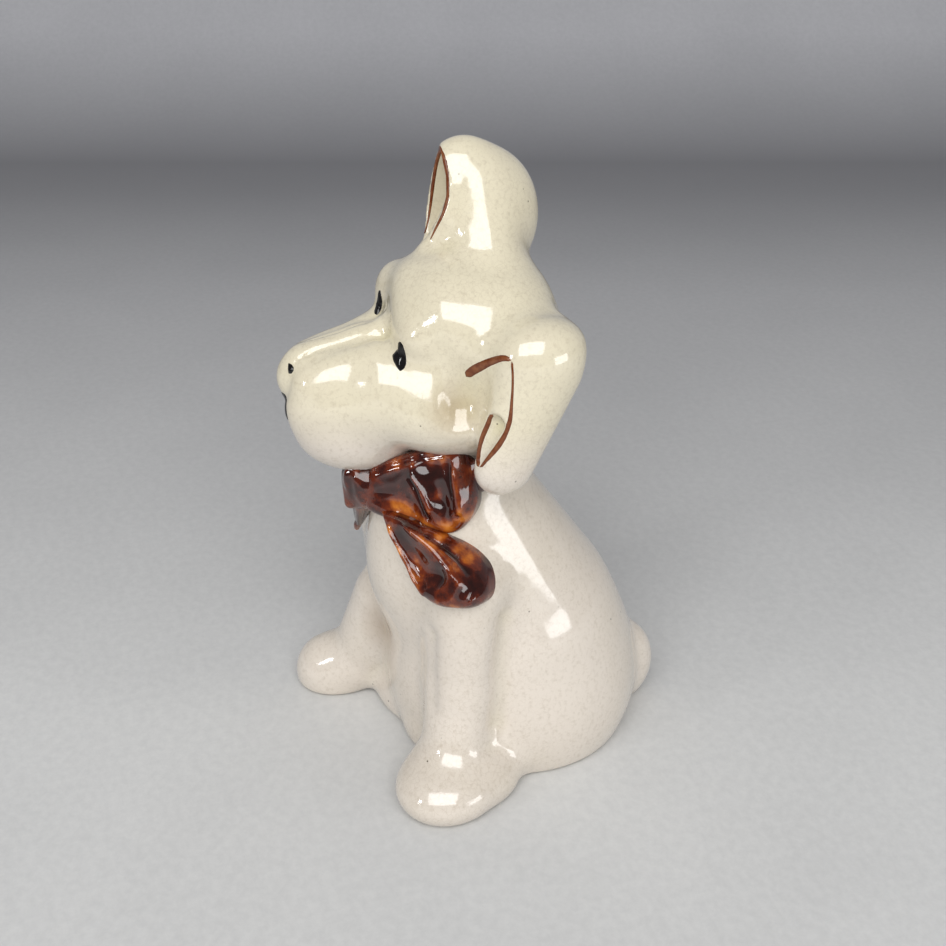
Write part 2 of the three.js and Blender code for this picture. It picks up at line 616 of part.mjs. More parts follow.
function enamelSolid(rows) {
  const across = rows[0].length;
  const layers = [lutingGap, lutingGap + enamelThickness];
  const positions = [];
  for (const height of layers) {
    for (const row of rows) {
      for (const p of row) positions.push(...settle(grown(skinField, height), p, 12, 1));
    }
  }
  const layerSize = rows.length * across;
  const triangles = [];
  const quad = (a, b, c, d) => triangles.push(a, b, c, a, c, d);
  for (let i = 0; i < rows.length - 1; i += 1) {
    for (let j = 0; j < across - 1; j += 1) {
      const a = i * across + j;
      const [b, c, d] = [a + across, a + across + 1, a + 1];
      quad(a + layerSize, b + layerSize, c + layerSize, d + layerSize);
      quad(a, d, c, b);
    }
  }
  const rim = [];
  for (let j = 0; j < across - 1; j += 1) rim.push(j);
  for (let i = 0; i < rows.length - 1; i += 1) rim.push(i * across + across - 1);
  for (let j = across - 1; j > 0; j -= 1) rim.push((rows.length - 1) * across + j);
  for (let i = rows.length - 1; i > 0; i -= 1) rim.push(i * across);
  rim.forEach((a, n) => {
    const b = rim[(n + 1) % rim.length];
    quad(b, a, a + layerSize, b + layerSize);
  });
  const geometry = new THREE.BufferGeometry();
  geometry.setAttribute('position', new THREE.Float32BufferAttribute(positions, 3));
  geometry.setIndex(triangles);
  const solid = solidOf(geometry);
  return solid.subtract(headGrown).subtract(foldedEarGrown).subtract(standingEarGrown);
}
const standingEarGrown = solidField(grown(standingEarField, lutingGap), standingEarBox, earRimStep);

// An oval mark on the face, seen from the front.
function ovalMark({ place, halfWidth, halfHeight }, side) {
  const rows = [];
  const steps = 4;
  for (let i = 0; i <= steps; i += 1) {
    const row = [];
    for (let j = 0; j <= steps; j += 1) {
      const [u, v] = [2 * i / steps - 1, 2 * j / steps - 1];
      const x = u * Math.sqrt(1 - v * v / 2) * halfWidth;
      const z = v * Math.sqrt(1 - u * u / 2) * halfHeight;
      row.push(headAxes.outward([side * place[0] + x, place[1], place[2] + z]));
    }
    rows.push(row);
  }
  return enamelSolid(rows);
}

// A brushed line through its points, widest in the middle.
function brushLine(points) {
  const path = new THREE.CatmullRomCurve3(points.map((p) => new THREE.Vector3(...p)));
  const steps = 8;
  const rows = [];
  for (let i = 0; i <= steps; i += 1) {
    const share = i / steps;
    const here = path.getPointAt(share).toArray();
    const along = path.getTangentAt(share).toArray();
    const skin = settle(skinField, here, 12, 1);
    const side = unit(cross(along, slopeOf(skinField, skin)));
    const half = brushLineWidth / 2 * (0.45 + 0.55 * Math.sin(Math.PI * share));
    rows.push([-1, 0, 1].map((across) => plus(skin, times(side, -half * across))));
  }
  return enamelSolid(rows);
}

// Finishes: cream glaze, brown glaze, black enamel and brushed brown line.
const glaze = { color: '#ddd5bd', roughness: 0.12, metalness: 0 };
const bowGlaze = { color: '#5a2412', roughness: 0.1, metalness: 0 };
const blackEnamel = { color: '#0c0b0b', roughness: 0.12, metalness: 0 };
const brownLine = { color: '#7a3a1a', roughness: 0.3, metalness: 0 };

const dog = new THREE.Group();

function addPiece(name, solid, finish) {
  const piece = new THREE.Mesh(geometryOf(solid), new THREE.MeshStandardMaterial(finish));
  piece.name = name;
  dog.add(piece);
}

addPiece('torso', torso(), glaze);
addPiece('head', head(), glaze);
addPiece('standing_ear', standingEarSolid, glaze);
addPiece('folded_ear', foldedEarSolid.subtract(torsoGrown), glaze);
addPiece('left_foreleg', foreleg(leftLegField, leftLegBox), glaze);
addPiece('right_foreleg', foreleg(rightLegField, rightLegBox), glaze);
addPiece('left_hind_foot', groundForm(hindFoot, torsoGrown, leftLegGrown), glaze);
addPiece('right_hind_foot', groundForm(rightFoot, torsoGrown, rightLegGrown), glaze);
addPiece('right_outer_toe', groundForm(rightOuterToe, torsoGrown, rightLegGrown, rightFootGrown), glaze);
addPiece('tail', groundForm(tailStump, torsoGrown), glaze);
addPiece('neck_ribbon', ribbonSolid.subtract(foldedEarGrown), bowGlaze);
addPiece('bow_knot', bowPiece(knotField, bowBox), bowGlaze);
addPiece('left_bow_loop', bowPiece(leftLoopField, bowBox, knotGrown, foldedEarGrown), bowGlaze);
addPiece('right_bow_loop', bowPiece(rightLoopField, bowBoxRight, knotGrown), bowGlaze);
addPiece('left_bow_tail', bowPiece(leftTailField, bowBox, knotGrown, leftLoopGrown, leftLegGrown), bowGlaze);
addPiece('right_bow_tail', bowPiece(rightTailField, bowBoxRight, knotGrown, rightLoopGrown), bowGlaze);
addPiece('left_eye', ovalMark(eyeMark, 1), blackEnamel);
addPiece('right_eye', ovalMark(eyeMark, -1), blackEnamel);
addPiece('left_nostril', ovalMark(nostrilMark, 1), blackEnamel);
addPiece('right_nostril', ovalMark(nostrilMark, -1), blackEnamel);
addPiece('mouth', ovalMark(mouthMark, 1), blackEnamel);
addPiece('folded_ear_upper_line', brushLine(upperEarLine), brownLine);
addPiece('folded_ear_edge_line', brushLine(edgeEarLine), brownLine);
addPiece('folded_ear_front_line', brushLine(frontEarLine), brownLine);
addPiece('standing_ear_line', brushLine(standingEarLine), brownLine);

// The origin is on the ground, under the middle of the whole figurine.
const extent = new THREE.Box3().setFromObject(dog);
dog.position.set(-(extent.min.x + extent.max.x) / 2, -(extent.min.y + extent.max.y) / 2, 0);

export default dog;
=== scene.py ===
import math

import bmesh
import bpy
import numpy as np
from mathutils import Matrix, Vector


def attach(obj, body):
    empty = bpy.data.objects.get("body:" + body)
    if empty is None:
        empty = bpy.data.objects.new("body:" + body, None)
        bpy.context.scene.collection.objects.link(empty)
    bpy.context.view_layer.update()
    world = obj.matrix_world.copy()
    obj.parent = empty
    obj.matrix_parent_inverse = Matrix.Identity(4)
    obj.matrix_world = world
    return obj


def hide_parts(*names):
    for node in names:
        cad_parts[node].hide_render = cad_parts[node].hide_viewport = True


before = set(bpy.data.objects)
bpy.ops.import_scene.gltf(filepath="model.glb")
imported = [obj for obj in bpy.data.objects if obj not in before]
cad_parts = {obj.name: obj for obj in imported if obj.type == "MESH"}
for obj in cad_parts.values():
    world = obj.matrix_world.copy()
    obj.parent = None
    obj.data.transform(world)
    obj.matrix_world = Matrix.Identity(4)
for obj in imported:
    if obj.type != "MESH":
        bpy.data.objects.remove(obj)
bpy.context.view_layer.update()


# The camera looks down at thirty degrees on the dog's left side, a little from its front. Its lens follows
# from the photo's perspective, as a focal length in the pixels of the frame.
camera_place = Vector((0.27202, -0.10135, 0.240))
look = Vector((-0.814, 0.296, -0.5)).normalized()
side = look.cross(Vector((0, 0, 1))).normalized()
frame_pixels, focal_pixels = 946, 1400
camera_data = bpy.data.cameras.new("camera")
camera_data.sensor_width = 36
camera_data.lens = camera_data.sensor_width * focal_pixels / frame_pixels
camera_data.clip_start = 0.01
camera = bpy.data.objects.new("camera", camera_data)
bpy.context.scene.collection.objects.link(camera)
camera_turn = Matrix((side, side.cross(look), -look)).transposed().to_4x4()
camera.matrix_world = Matrix.Translation(camera_place) @ camera_turn
bpy.context.scene.camera = camera


# The body: one slip-cast puppy of chest, back, haunches, legs, feet and tail, dipped in ivory glaze, with
# soft fillets between its forms and a bare flat foot rim round a drain hole. Its sizes are in millimetres
# on axes of its own, and stand carries them to the middle of the row.
stand = np.array([-1.58, 14.75, 0.0])


def turned(yaw=0.0, lean=0.0, tip=0.0):
    a, b, c = np.radians([yaw, lean, tip])
    about_z = np.array([[np.cos(a), -np.sin(a), 0], [np.sin(a), np.cos(a), 0], [0, 0, 1]])
    about_x = np.array([[1, 0, 0], [0, np.cos(b), -np.sin(b)], [0, np.sin(b), np.cos(b)]])
    about_y = np.array([[np.cos(c), 0, np.sin(c)], [0, 1, 0], [-np.sin(c), 0, np.cos(c)]])
    return about_z @ about_x @ about_y


def ellipsoid(p, centre, radii, turn=None):
    q = p - np.array(centre, p.dtype)
    if turn is not None:
        q = q @ turn.astype(p.dtype)
    radii = np.array(radii, p.dtype)
    scaled = np.sqrt(((q / radii) ** 2).sum(-1))
    slope = np.sqrt(((q / radii**2) ** 2).sum(-1))
    return scaled * (scaled - 1) / np.maximum(slope, 1e-6)


def limb(p, start, end, start_radius, end_radius):
    start, run = np.array(start, p.dtype), np.array(end, p.dtype) - np.array(start, p.dtype)
    length = float(np.sqrt(run @ run))
    sine = (start_radius - end_radius) / length
    cosine = math.sqrt(1 - sine * sine)
    q = p - start
    height = q @ (run / length)
    radius = np.sqrt(np.maximum((q * q).sum(-1) - height * height, 0))
    along = height * cosine - radius * sine
    cone = radius * cosine + height * sine - start_radius
    low_end = np.hypot(radius, height) - start_radius
    high_end = np.hypot(radius, height - length) - end_radius
    return np.where(along < 0, low_end, np.where(along > length * cosine, high_end, cone))


def join(a, b, soft):
    return np.minimum(a, b) - np.maximum(soft - np.abs(a - b), 0) ** 2 / (4 * soft)


def carve(a, tool, soft):
    return -join(-a, tool, soft)


def both_sides(p):
    return np.concatenate([np.abs(p[..., :1]), p[..., 1:]], -1)


def fold_line(p, points, width, height):
    """A soft ridge of that height along the points, or a groove where the height is negative."""
    nearest = np.full(p.shape[:-1], 1e9, p.dtype)
    for start, end in zip(points, points[1:]):
        start, run = np.array(start, p.dtype), np.array(end, p.dtype) - np.array(start, p.dtype)
        share = np.clip((p - start) @ run / (run @ run), 0, 1)
        away = p - start - share[..., None] * run
        nearest = np.minimum(nearest, (away * away).sum(-1))
    return -height * np.exp(-nearest / width**2)


def neck_form(p):
    return limb(p, (0, -20, 66), (0, -17, 90), 15, 13)


def seam(p):
    """Height over the sloped plane, under the ribbon, at which body and head meet."""
    return p[..., 2] - 81 - 0.3 * (p[..., 1] + 20)


def body_form(p):
    m = both_sides(p)
    form = ellipsoid(p, (0, -5.4, 11.5), (30.2, 32.8, 29.5))
    form = join(form, limb(p, (0, -8.5, 31.8), (0, -21.8, 66), 27.5, 19), 12)
    form = join(form, ellipsoid(p, (0, -25.3, 50), (16.9, 17.5, 22)), 8)
    form = join(form, neck_form(p), 4)
    form = join(form, ellipsoid(m, (15.3, -5.5, 10.3), (15.3, 20, 18.4)), 8)
    form = join(form, ellipsoid(m, (6.9, -27.1, 2.9), (8, 8.8, 9.5)), 4)
    left = limb(p, (19, -25, 52), (21, -27, 26), 9.5, 8.5)
    left = join(left, limb(p, (21, -27, 26), (25.2, -30.7, 10), 8.5, 8.2), 2)
    left = join(left, ellipsoid(p, (29.2, -33.2, 4.6), (12.5, 14.1, 8.2), turned(30)), 5)
    left = join(left, ellipsoid(p, (26.9, -25.2, 4), (10.7, 10.4, 8.3)), 3)
    right = limb(p, (-16.6, -29.9, 52.4), (-20.9, -31.1, 27.5), 10.2, 6)
    right = join(right, limb(p, (-17, -33.2, 29.3), (-21.7, -40.9, 8.5), 9.8, 8.1), 2)
    right = join(right, ellipsoid(p, (-25, -47.7, 3.4), (8.9, 10.2, 10.4), turned(-20)), 5)
    right = join(right, ellipsoid(p, (-31.4, -43.5, 2.9), (7.7, 10.2, 6.6)), 2.5)
    right = join(right, ellipsoid(p, (-13.7, -33.2, 4), (10.7, 6.3, 6.1)), 4)
    right = join(right, ellipsoid(p, (-27.5, -24, 4.5), (10.5, 10.5, 8)), 3)
    form = join(join(form, left, 5), right, 6)
    behind_leg = [(26, -18, 47), (27.6, -19.5, 36.5), (28.8, -19.9, 28.5), (29.5, -21, 19)]
    beside_chest = [(21.5, -34.8, 43), (21.9, -35.3, 33.5), (24, -36, 25)]
    form = form + fold_line(p, behind_leg, 2.6, -1.3)
    form = form + fold_line(p, beside_chest, 2.4, -0.9)
    return join(form, ellipsoid(p, (5.6, 21.5, 10), (7.9, 10.2, 12.6)), 2)


def body_skin(p):
    form = carve(body_form(p), seam(p) * -1 - 0.15, 0.6)
    form = carve(form, p[..., 2], 1.6)
    drain_hole = limb(p, (0, -7, -12), (0, -7, 8), 9, 9)
    hollow = join(drain_hole, ellipsoid(p, (0, -7, 22), (15, 15, 17)), 3)
    return carve(form, hollow, 1.2)


block = 8
blocks_at_once = 150


def grid_of(field, low, step, blocks):
    """Field values on a fine grid, worked out only in the blocks of points that the surface may pass."""
    inner = np.stack(np.meshgrid(*[np.arange(block)] * 3, indexing="ij"), -1).reshape(-1, 3)
    starts = np.meshgrid(*[block * np.arange(n) for n in blocks], indexing="ij")
    starts = np.stack(starts, -1).reshape(-1, 3)
    middles = (low + (starts + (block - 1) / 2) * step).astype(np.float32)
    values = np.repeat(field(middles)[:, None], block**3, axis=1).astype(np.float32)
    near = np.flatnonzero(np.abs(values[:, 0]) < (block + 1) * step)
    for some in np.array_split(near, 1 + len(near) // blocks_at_once):
        values[some] = field((low + (starts[some][:, None] + inner) * step).astype(np.float32))
    shaped = values.reshape(*blocks, block, block, block).transpose(0, 3, 1, 4, 2, 5)
    return shaped.reshape([block * n for n in blocks])


def slope_of(field, p):
    nudge = 0.06
    steps = np.eye(3, dtype=p.dtype) * nudge
    return np.stack([field(p + r) - field(p - r) for r in steps], -1) / (2 * nudge)


def settled(field, points, height, rounds, most):
    """The points carried straight onto the skin, or that far above it, by at most so much in each round."""
    for _ in range(rounds):
        slope = slope_of(field, points)
        steepness = np.maximum((slope * slope).sum(-1), 0.05)
        move = -((field(points) - height) / steepness)[:, None] * slope
        length = np.linalg.norm(move, axis=1, keepdims=True)
        points = points + move * np.minimum(1, most / np.maximum(length, 1e-9))
    return points


def skin_mesh(field, low, high, step):
    """A closed net of quads on a field's surface, with a vertex in each cell that the surface passes."""
    low = np.array(low, float)
    blocks = np.ceil((np.array(high, float) - low) / step / block).astype(int)
    values = grid_of(field, low, step, blocks)
    solid = values < 0
    corners = np.stack(np.meshgrid([0, 1], [0, 1], [0, 1], indexing="ij"), -1).reshape(-1, 3)
    wide, deep, tall = [n - 1 for n in solid.shape]
    filled = sum(solid[a:a + wide, b:b + deep, c:c + tall].astype(np.int8) for a, b, c in corners)
    crossed = (filled > 0) & (filled < 8)
    cell = np.argwhere(crossed)
    number = np.full(crossed.shape, -1)
    number[crossed] = np.arange(len(cell))
    total, count = np.zeros((len(cell), 3)), np.zeros(len(cell))
    for corner in corners:
        for axis in np.flatnonzero(corner == 0):
            step_on = np.eye(3, dtype=int)[axis]
            here = values[tuple((cell + corner).T)]
            there = values[tuple((cell + corner + step_on).T)]
            cut = (here < 0) != (there < 0)
            share = np.where(cut, here / np.where(cut, here - there, 1), 0)
            total += np.where(cut[:, None], corner + share[:, None] * step_on, 0)
            count += cut
    points = (low + (cell + total / count[:, None]) * step).astype(np.float32)
    quads = []
    for axis in range(3):
        second, third = (axis + 1) % 3, (axis + 2) % 3
        along, across, up = np.eye(3, dtype=int)[[axis, second, third]]
        shape = np.array(solid.shape)
        first = across + up
        span = tuple(slice(f, n - (0 if f else 1)) for f, n in zip(first, shape))
        one = solid[tuple(slice(s.start, n - 1) for s, n in zip(span, shape))]
        two = solid[tuple(slice(s.start + a, n - 1 + a) for s, a, n in zip(span, along, shape))]
        edge = np.argwhere(one != two)
        start_solid = one[tuple(edge.T)]
        edge = edge + first
        turns = ((1, 1), (0, 1), (0, 0), (1, 0))
        quad = np.stack([number[tuple((edge - b * across - c * up).T)] for b, c in turns], 1)
        quads.append(np.where(start_solid[:, None], quad, quad[:, ::-1]))
    return settled(field, points, 0, 3, 0.5 * step), np.concatenate(quads)


def bend_at(field, points, reach):
    """How far the surface bulges, above zero, or dips, below zero, at about that reach in millimetres."""
    around = np.concatenate([np.eye(3), -np.eye(3)]).astype(np.float32) * reach
    return (sum(field(points + a) for a in around) / 6 - field(points)) / reach


def add_piece(name, points, faces, normals=None, **layers):
    """A mesh in the row frame, in metres, with smooth normals and named values at its points."""
    mesh = bpy.data.meshes.new(name)
    mesh.from_pydata(((points + stand) * 0.001).tolist(), [], faces.tolist())
    mesh.polygons.foreach_set("use_smooth", [True] * len(mesh.polygons))
    for layer, values in layers.items():
        attribute = mesh.attributes.new(layer, "FLOAT", "POINT")
        attribute.data.foreach_set("value", values.astype(np.float32))
    if normals is not None:
        mesh.normals_split_custom_set_from_vertices(normals.tolist())
    mesh.update()
    piece = bpy.data.objects.new(name, mesh)
    bpy.context.scene.collection.objects.link(piece)
    return piece


def unit_slope(field, points):
    slope = slope_of(field, points)
    return slope / np.linalg.norm(slope, axis=1, keepdims=True)


def colour(code):
    parts = [int(code[i:i + 2], 16) / 255 for i in (1, 3, 5)]
    return [c / 12.92 if c <= 0.04045 else ((c + 0.055) / 1.055) ** 2.4 for c in parts] + [1.0]


def add_node(tree, kind, inputs=None, **settings):
    """Adds a node, and sets or links its inputs. A node as an input stands for its first output."""
    node = tree.nodes.new("ShaderNode" + kind)
    for name, value in settings.items():
        setattr(node, name, value)
    for name, value in (inputs or {}).items():
        value = value.outputs[0] if isinstance(value, bpy.types.Node) else value
        if isinstance(value, bpy.types.NodeSocket):
            tree.links.new(value, node.inputs[name])
        else:
            node.inputs[name].default_value = value
    return node


def new_material(name):
    material = bpy.data.materials.new(name)
    material.use_nodes = True
    tree = material.node_tree
    tree.nodes.clear()
    shader = add_node(tree, "BsdfPrincipled")
    add_node(tree, "OutputMaterial", {"Surface": shader})
    place = add_node(tree, "TexCoord").outputs["Object"]
    return material, tree, shader, place


# Ivory lead glaze on pale earthenware, dipped and fired: it pools yellow-green in the hollows, has crazed
# into a net of hair cracks, and shows dark iron pinholes. A brown painted shade darkens it between the
# forelegs and on the cheek under the folded ear. It is glossy, with the high IOR of lead glass and a clear
# top. The wiped foot rim is bare, matt biscuit. The sizes of its patterns are in millimetres, and the
# finest grain is drawn a little coarse, so that it shows.
cloud_size, patch_size, crack_size, crack_sway = 22.2222, 35.7143, 1.5, 3.84615
pinhole_spacing, grain_size, ripple_size = 4.76190, 1.11111, 7.69231
ivory, tree, shader, place = new_material("ivory_crazed_glaze")
pool = add_node(tree, "Attribute", attribute_name="pool").outputs["Fac"]
warmth = add_node(tree, "Attribute", attribute_name="warmth").outputs["Fac"]
# Painted shade: this brown mix darkens the glaze between the forelegs and under the folded ear.
stain = add_node(tree, "Attribute", attribute_name="stain").outputs["Fac"]
pooled = add_node(tree, "MapRange", {"Value": pool, "To Max": 0.8})
cloud = add_node(tree, "TexNoise", {"Vector": place, "Scale": 1000 / cloud_size, "Detail": 3.0})
cloud = add_node(tree, "MapRange", {"Value": cloud, "From Min": 0.48, "From Max": 0.72, "To Max": 0.3})
bent = add_node(tree, "TexNoise", {"Vector": place, "Scale": 1000 / crack_sway, "Detail": 2.0})
bent = add_node(tree, "Mix", {0: 0.0016, 4: place, 5: bent.outputs["Color"]}, data_type="VECTOR").outputs[1]
crack = {"Vector": bent, "Scale": 1000 / crack_size}
crack = add_node(tree, "TexVoronoi", crack, feature="DISTANCE_TO_EDGE")
crack = add_node(tree, "MapRange", {"Value": crack, "From Max": 0.06, "To Min": 1, "To Max": 0})
patch = add_node(tree, "TexNoise", {"Vector": place, "Scale": 1000 / patch_size})
patch = add_node(tree, "MapRange", {"Value": patch, "From Min": 0.4, "From Max": 0.6, "To Min": 0.25})
crack = add_node(tree, "Math", {0: crack, 1: patch}, operation="MULTIPLY")
hairline = add_node(tree, "Math", {0: crack, 1: 0.16}, operation="MULTIPLY")
speck = add_node(tree, "TexVoronoi", {"Vector": place, "Scale": 1000 / pinhole_spacing})
chosen = add_node(tree, "SeparateColor", {"Color": speck.outputs["Color"]})
pinhole = {"Value": speck, "From Min": 0.035, "From Max": 0.06, "To Min": 1, "To Max": 0}
pinhole = add_node(tree, "MapRange", pinhole)
present = add_node(tree, "MapRange", {"Value": chosen.outputs[0], "From Min": 0.62, "From Max": 0.7})
depth = add_node(tree, "MapRange", {"Value": chosen.outputs[1], "To Min": 0.3, "To Max": 0.95})
pinhole = add_node(tree, "Math", {0: pinhole, 1: present}, operation="MULTIPLY")
pinhole = add_node(tree, "Math", {0: pinhole, 1: depth}, operation="MULTIPLY")
grain = {"Vector": place, "Scale": 1000 / grain_size, "Detail": 3.0, "Roughness": 0.7}
grain = add_node(tree, "TexNoise", grain)
grain = add_node(tree, "MapRange", {"Value": grain, "From Min": 0.5, "From Max": 0.75, "To Max": 0.3})
height_of = add_node(tree, "SeparateXYZ", {"Vector": place}).outputs["Z"]
bare = {"Value": height_of, "From Min": 0.0002, "From Max": 0.0007, "To Min": 1, "To Max": 0}
bare = add_node(tree, "MapRange", bare)
tone = colour("#e0d6c9")
for code, share in (
    ("#e2d9bf", warmth), ("#d3c8b4", cloud), ("#cfc79c", pooled), ("#9c8160", stain), ("#a08d72", hairline),
    ("#a3937a", grain), ("#453c2c", pinhole), ("#cdbfa6", bare),
):
    tone = add_node(tree, "Mix", {0: share, 6: tone, 7: colour(code)}, data_type="RGBA").outputs[2]
tree.links.new(tone, shader.inputs["Base Color"])
gloss = add_node(tree, "MapRange", {"Value": bare, "To Min": 0.09, "To Max": 0.75})
tree.links.new(gloss.outputs[0], shader.inputs["Roughness"])
ripple = add_node(tree, "TexNoise", {"Vector": place, "Scale": 1000 / ripple_size, "Detail": 1.0})
groove = add_node(tree, "Math", {0: crack, 1: -0.04}, operation="MULTIPLY")
relief = add_node(tree, "Math", {0: ripple, 1: groove}, operation="ADD")
bump = add_node(tree, "Bump", {"Strength": 0.35, "Distance": 0.0004, "Height": relief})
tree.links.new(bump.outputs[0], shader.inputs["Normal"])
shader.inputs["IOR"].default_value = 1.7
shader.inputs["Coat Weight"].default_value = 0.35
shader.inputs["Coat Roughness"].default_value = 0.04

points, faces = skin_mesh(body_skin, (-44, -64, -3), (44, 38, 100), 0.8)
dips = np.clip(-bend_at(body_skin, points, 4.0) * 3 - 0.15, 0, 1)
# Painted shade: the chest between the forelegs is darkened brown, where the legs shade it.
between_legs = np.linalg.norm((points - np.array([-6, -38, 27])) / np.array([9, 8, 11]), axis=1)
body = add_piece(
    "body", points, faces, unit_slope(body_skin, points),
    pool=dips * 0.5, warmth=np.clip((points[:, 2] - 40) / 60, 0, 1) * 0.3,
    stain=np.clip(1.1 - between_legs, 0, 1) * 0.6,
)
body.data.materials.append(ivory)
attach(body, "root")
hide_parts("torso", "left_foreleg", "right_foreleg", "left_hind_foot", "right_hind_foot",
            "right_outer_toe", "tail")


# The head: skull, brows, cheeks and a long soft muzzle, with the right ear up and cupped to the front, and
# the left ear folded down in front of a hollow. It is glazed with the body, and is turned and tipped.
head_centre = np.array([-2.0, -18.0, 106.0])
head_turn = turned(-10, 0, 6)


def face_form(p):
    q = (p - head_centre.astype(p.dtype)) @ head_turn.astype(p.dtype)
    m = both_sides(q)
    form = ellipsoid(q, (0, 5.7, 0.5), (23, 16.5, 21.6))
    form = join(form, ellipsoid(q, (0, -5.3, 11.1), (16.5, 10.1, 11)), 7)
    brow = ellipsoid(q, (-11.3, -13.7, 7.7), (5.8, 5.3, 7.5))
    brow = join(brow, ellipsoid(q, (-1.9, -11.9, 11.5), (7, 4.3, 7)), 6)
    brow = join(brow, ellipsoid(q, (7.9, -11.8, 7.8), (6.9, 5.3, 5.4)), 6)
    form = join(form, brow, 4)
    form = join(form, ellipsoid(m, (13.6, -4.3, -9.2), (9.9, 15, 10.8)), 9)
    muzzle = ellipsoid(m, (4.9, -25.6, -11.9), (9, 16, 12.6))
    muzzle = join(muzzle, ellipsoid(q, (0, -23.4, -20.6), (12.7, 15.9, 9.5)), 6)
    roof = limb(m, (4, -11.4, 2.7), (3.7, -19.7, -0.5), 3.5, 2.6)
    roof = join(roof, limb(m, (5.8, -20.9, 0), (4.2, -35.1, -4.7), 4.7, 4.8), 2)
    ridge = limb(q, (-1, -15.8, 4.6), (-1, -24, 0.5), 3.3, 4)
    ridge = join(ridge, limb(q, (-1, -24, 0.6), (0, -36.2, -3), 4.3, 5), 2)
    muzzle = join(join(muzzle, roof, 3), ridge, 1.5)
    muzzle = join(muzzle, ellipsoid(m, (10.4, -13.9, -7.7), (7.4, 12.2, 10.9)), 6)
    form = join(form, muzzle, 4)
    beside_ridge = [(2.6, -18, 9), (2.4, -23, 5.5), (2.3, -28, 3.6), (2.3, -34, 1.8), (2.7, -38.4, -0.8)]
    form = form + fold_line(m, beside_ridge, 0.8, -0.6)
    return join(form, ellipsoid(q, (0, -38.4, -6.1), (4.9, 4.7, 6)), 1.2)


def standing_ear(p):
    form = ellipsoid(p, (-10.4, -13.8, 133.6), (8.4, 12.2, 17.6), turned(0, 10))
    form = join(form, ellipsoid(p, (-12.1, -8, 132.1), (10.2, 10.9, 14.1)), 5)
    form = join(form, limb(p, (-9.5, -12.2, 137.5), (-2.8, -13, 123.5), 8.2, 9.2), 3.5)
    rim = limb(p, (-5.6, -18.9, 142), (-5.9, -21.5, 135.5), 1.8, 2)
    rim = join(rim, limb(p, (-5.9, -21.5, 135.5), (-7.6, -23.9, 128), 2, 2.2), 2)
    return join(form, rim, 3)


near_rim_heights = [125, 130, 133, 136.5, 140, 144, 148, 151]
near_rim_places = [-27.8, -26, -24.5, -22.5, -21.2, -20.8, -21.4, -22.8]
far_rim_heights = [125, 147, 151]
far_rim_places = [-24, -19.8, -19.6]
folded_ear_middle, folded_ear_flatness = 24, 1.5


def head_form(p):
    near_rim = np.interp(p[..., 2], near_rim_heights, near_rim_places)
    far_rim = np.interp(p[..., 2], far_rim_heights, far_rim_places)
    across = np.clip((-7 - p[..., 0]) / 7, 0, 1)
    ear_front = (p[..., 1] - near_rim - (far_rim - near_rim) * across).astype(p.dtype)
    standing = carve(standing_ear(p), ear_front, 1.0)
    wide = p.copy()
    wide[..., 0] = folded_ear_middle + (p[..., 0] - folded_ear_middle) * folded_ear_flatness
    folded = limb(wide, (23.2, -9.9, 109), (24.8, -18.3, 87.1), 9.9, 6.8) * 0.8
    folded = join(folded, ellipsoid(p, (17.4, -8.8, 113.4), (10.1, 10.3, 5.5)), 5)
    form = join(face_form(p), standing, 3.5)
    form = join(form, folded, 4)
    form = carve(form, ellipsoid(p, (-10.8, -22.8, 137.8), (5.9, 9.1, 11.4), turned(0, 10)), 1.0)
    form = carve(form, ellipsoid(p, (20, -27, 103.5), (5, 5.5, 8)), 3)
    return carve(form, limb(p, (26.6, -21.4, 99), (25.2, -24.8, 90.5), 2.2, 1.2), 1.0)


def head_skin(p):
    form = join(head_form(p), neck_form(p), 4)
    return carve(form, seam(p) - 0.15, 0.6)


points, faces = skin_mesh(head_skin, (-30, -72, 70), (40, 14, 156), 0.7)
dips = np.clip(-bend_at(head_skin, points, 4.0) * 3 - 0.1, 0, 1)
# Painted shadow: the cheek under the folded ear is darkened brown.
by_the_fold = np.linalg.norm((points - np.array([17, -27, 99])) / np.array([8, 8, 7]), axis=1)
head = add_piece(
    "head", points, faces, unit_slope(head_skin, points),
    pool=dips, warmth=np.clip((points[:, 2] - 86) / 12, 0, 1),
    stain=np.clip(1.1 - by_the_fold, 0, 1) * 0.5,
)
head.data.materials.append(ivory)
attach(head, "root")
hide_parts("head", "standing_ear", "folded_ear")


# The neck ribbon: a strip of clay laid round the joint of head and body, rising to the nape, glazed brown.
# Brown iron glaze, brushed on thick and fired glossy: it runs thin and amber on edges and bulges, and pools
# reddish black in the folds. The sizes of its mottle, its broad patches and its ripple are in millimetres.
mottle_size, broad_size, brown_ripple_size = 2.38095, 8.33333, 3.84615
brown, tree, shader, place = new_material("brown_iron_glaze")
bend = add_node(tree, "Attribute", attribute_name="bend").outputs["Fac"]
mottle = {"Vector": place, "Scale": 1000 / mottle_size, "Detail": 4.0, "Roughness": 0.65}
mottle = add_node(tree, "TexNoise", mottle)
mottle = {"Value": mottle, "From Min": 0.3, "From Max": 0.7, "To Min": -0.16, "To Max": 0.16}
mottle = add_node(tree, "MapRange", mottle)
broad = add_node(tree, "TexNoise", {"Vector": place, "Scale": 1000 / broad_size, "Detail": 2.0})
broad = {"Value": broad, "From Min": 0.35, "From Max": 0.65, "To Min": -0.14, "To Max": 0.14}
broad = add_node(tree, "MapRange", broad)
thin = add_node(tree, "Math", {0: bend, 1: mottle}, operation="ADD")
thin = add_node(tree, "Math", {0: thin, 1: broad}, operation="ADD")
amber_ramp = add_node(tree, "ValToRGB", {"Fac": thin})
ramp = amber_ramp.color_ramp
ramp.elements[0].position = 0.12
ramp.elements[0].color = colour("#260d09")
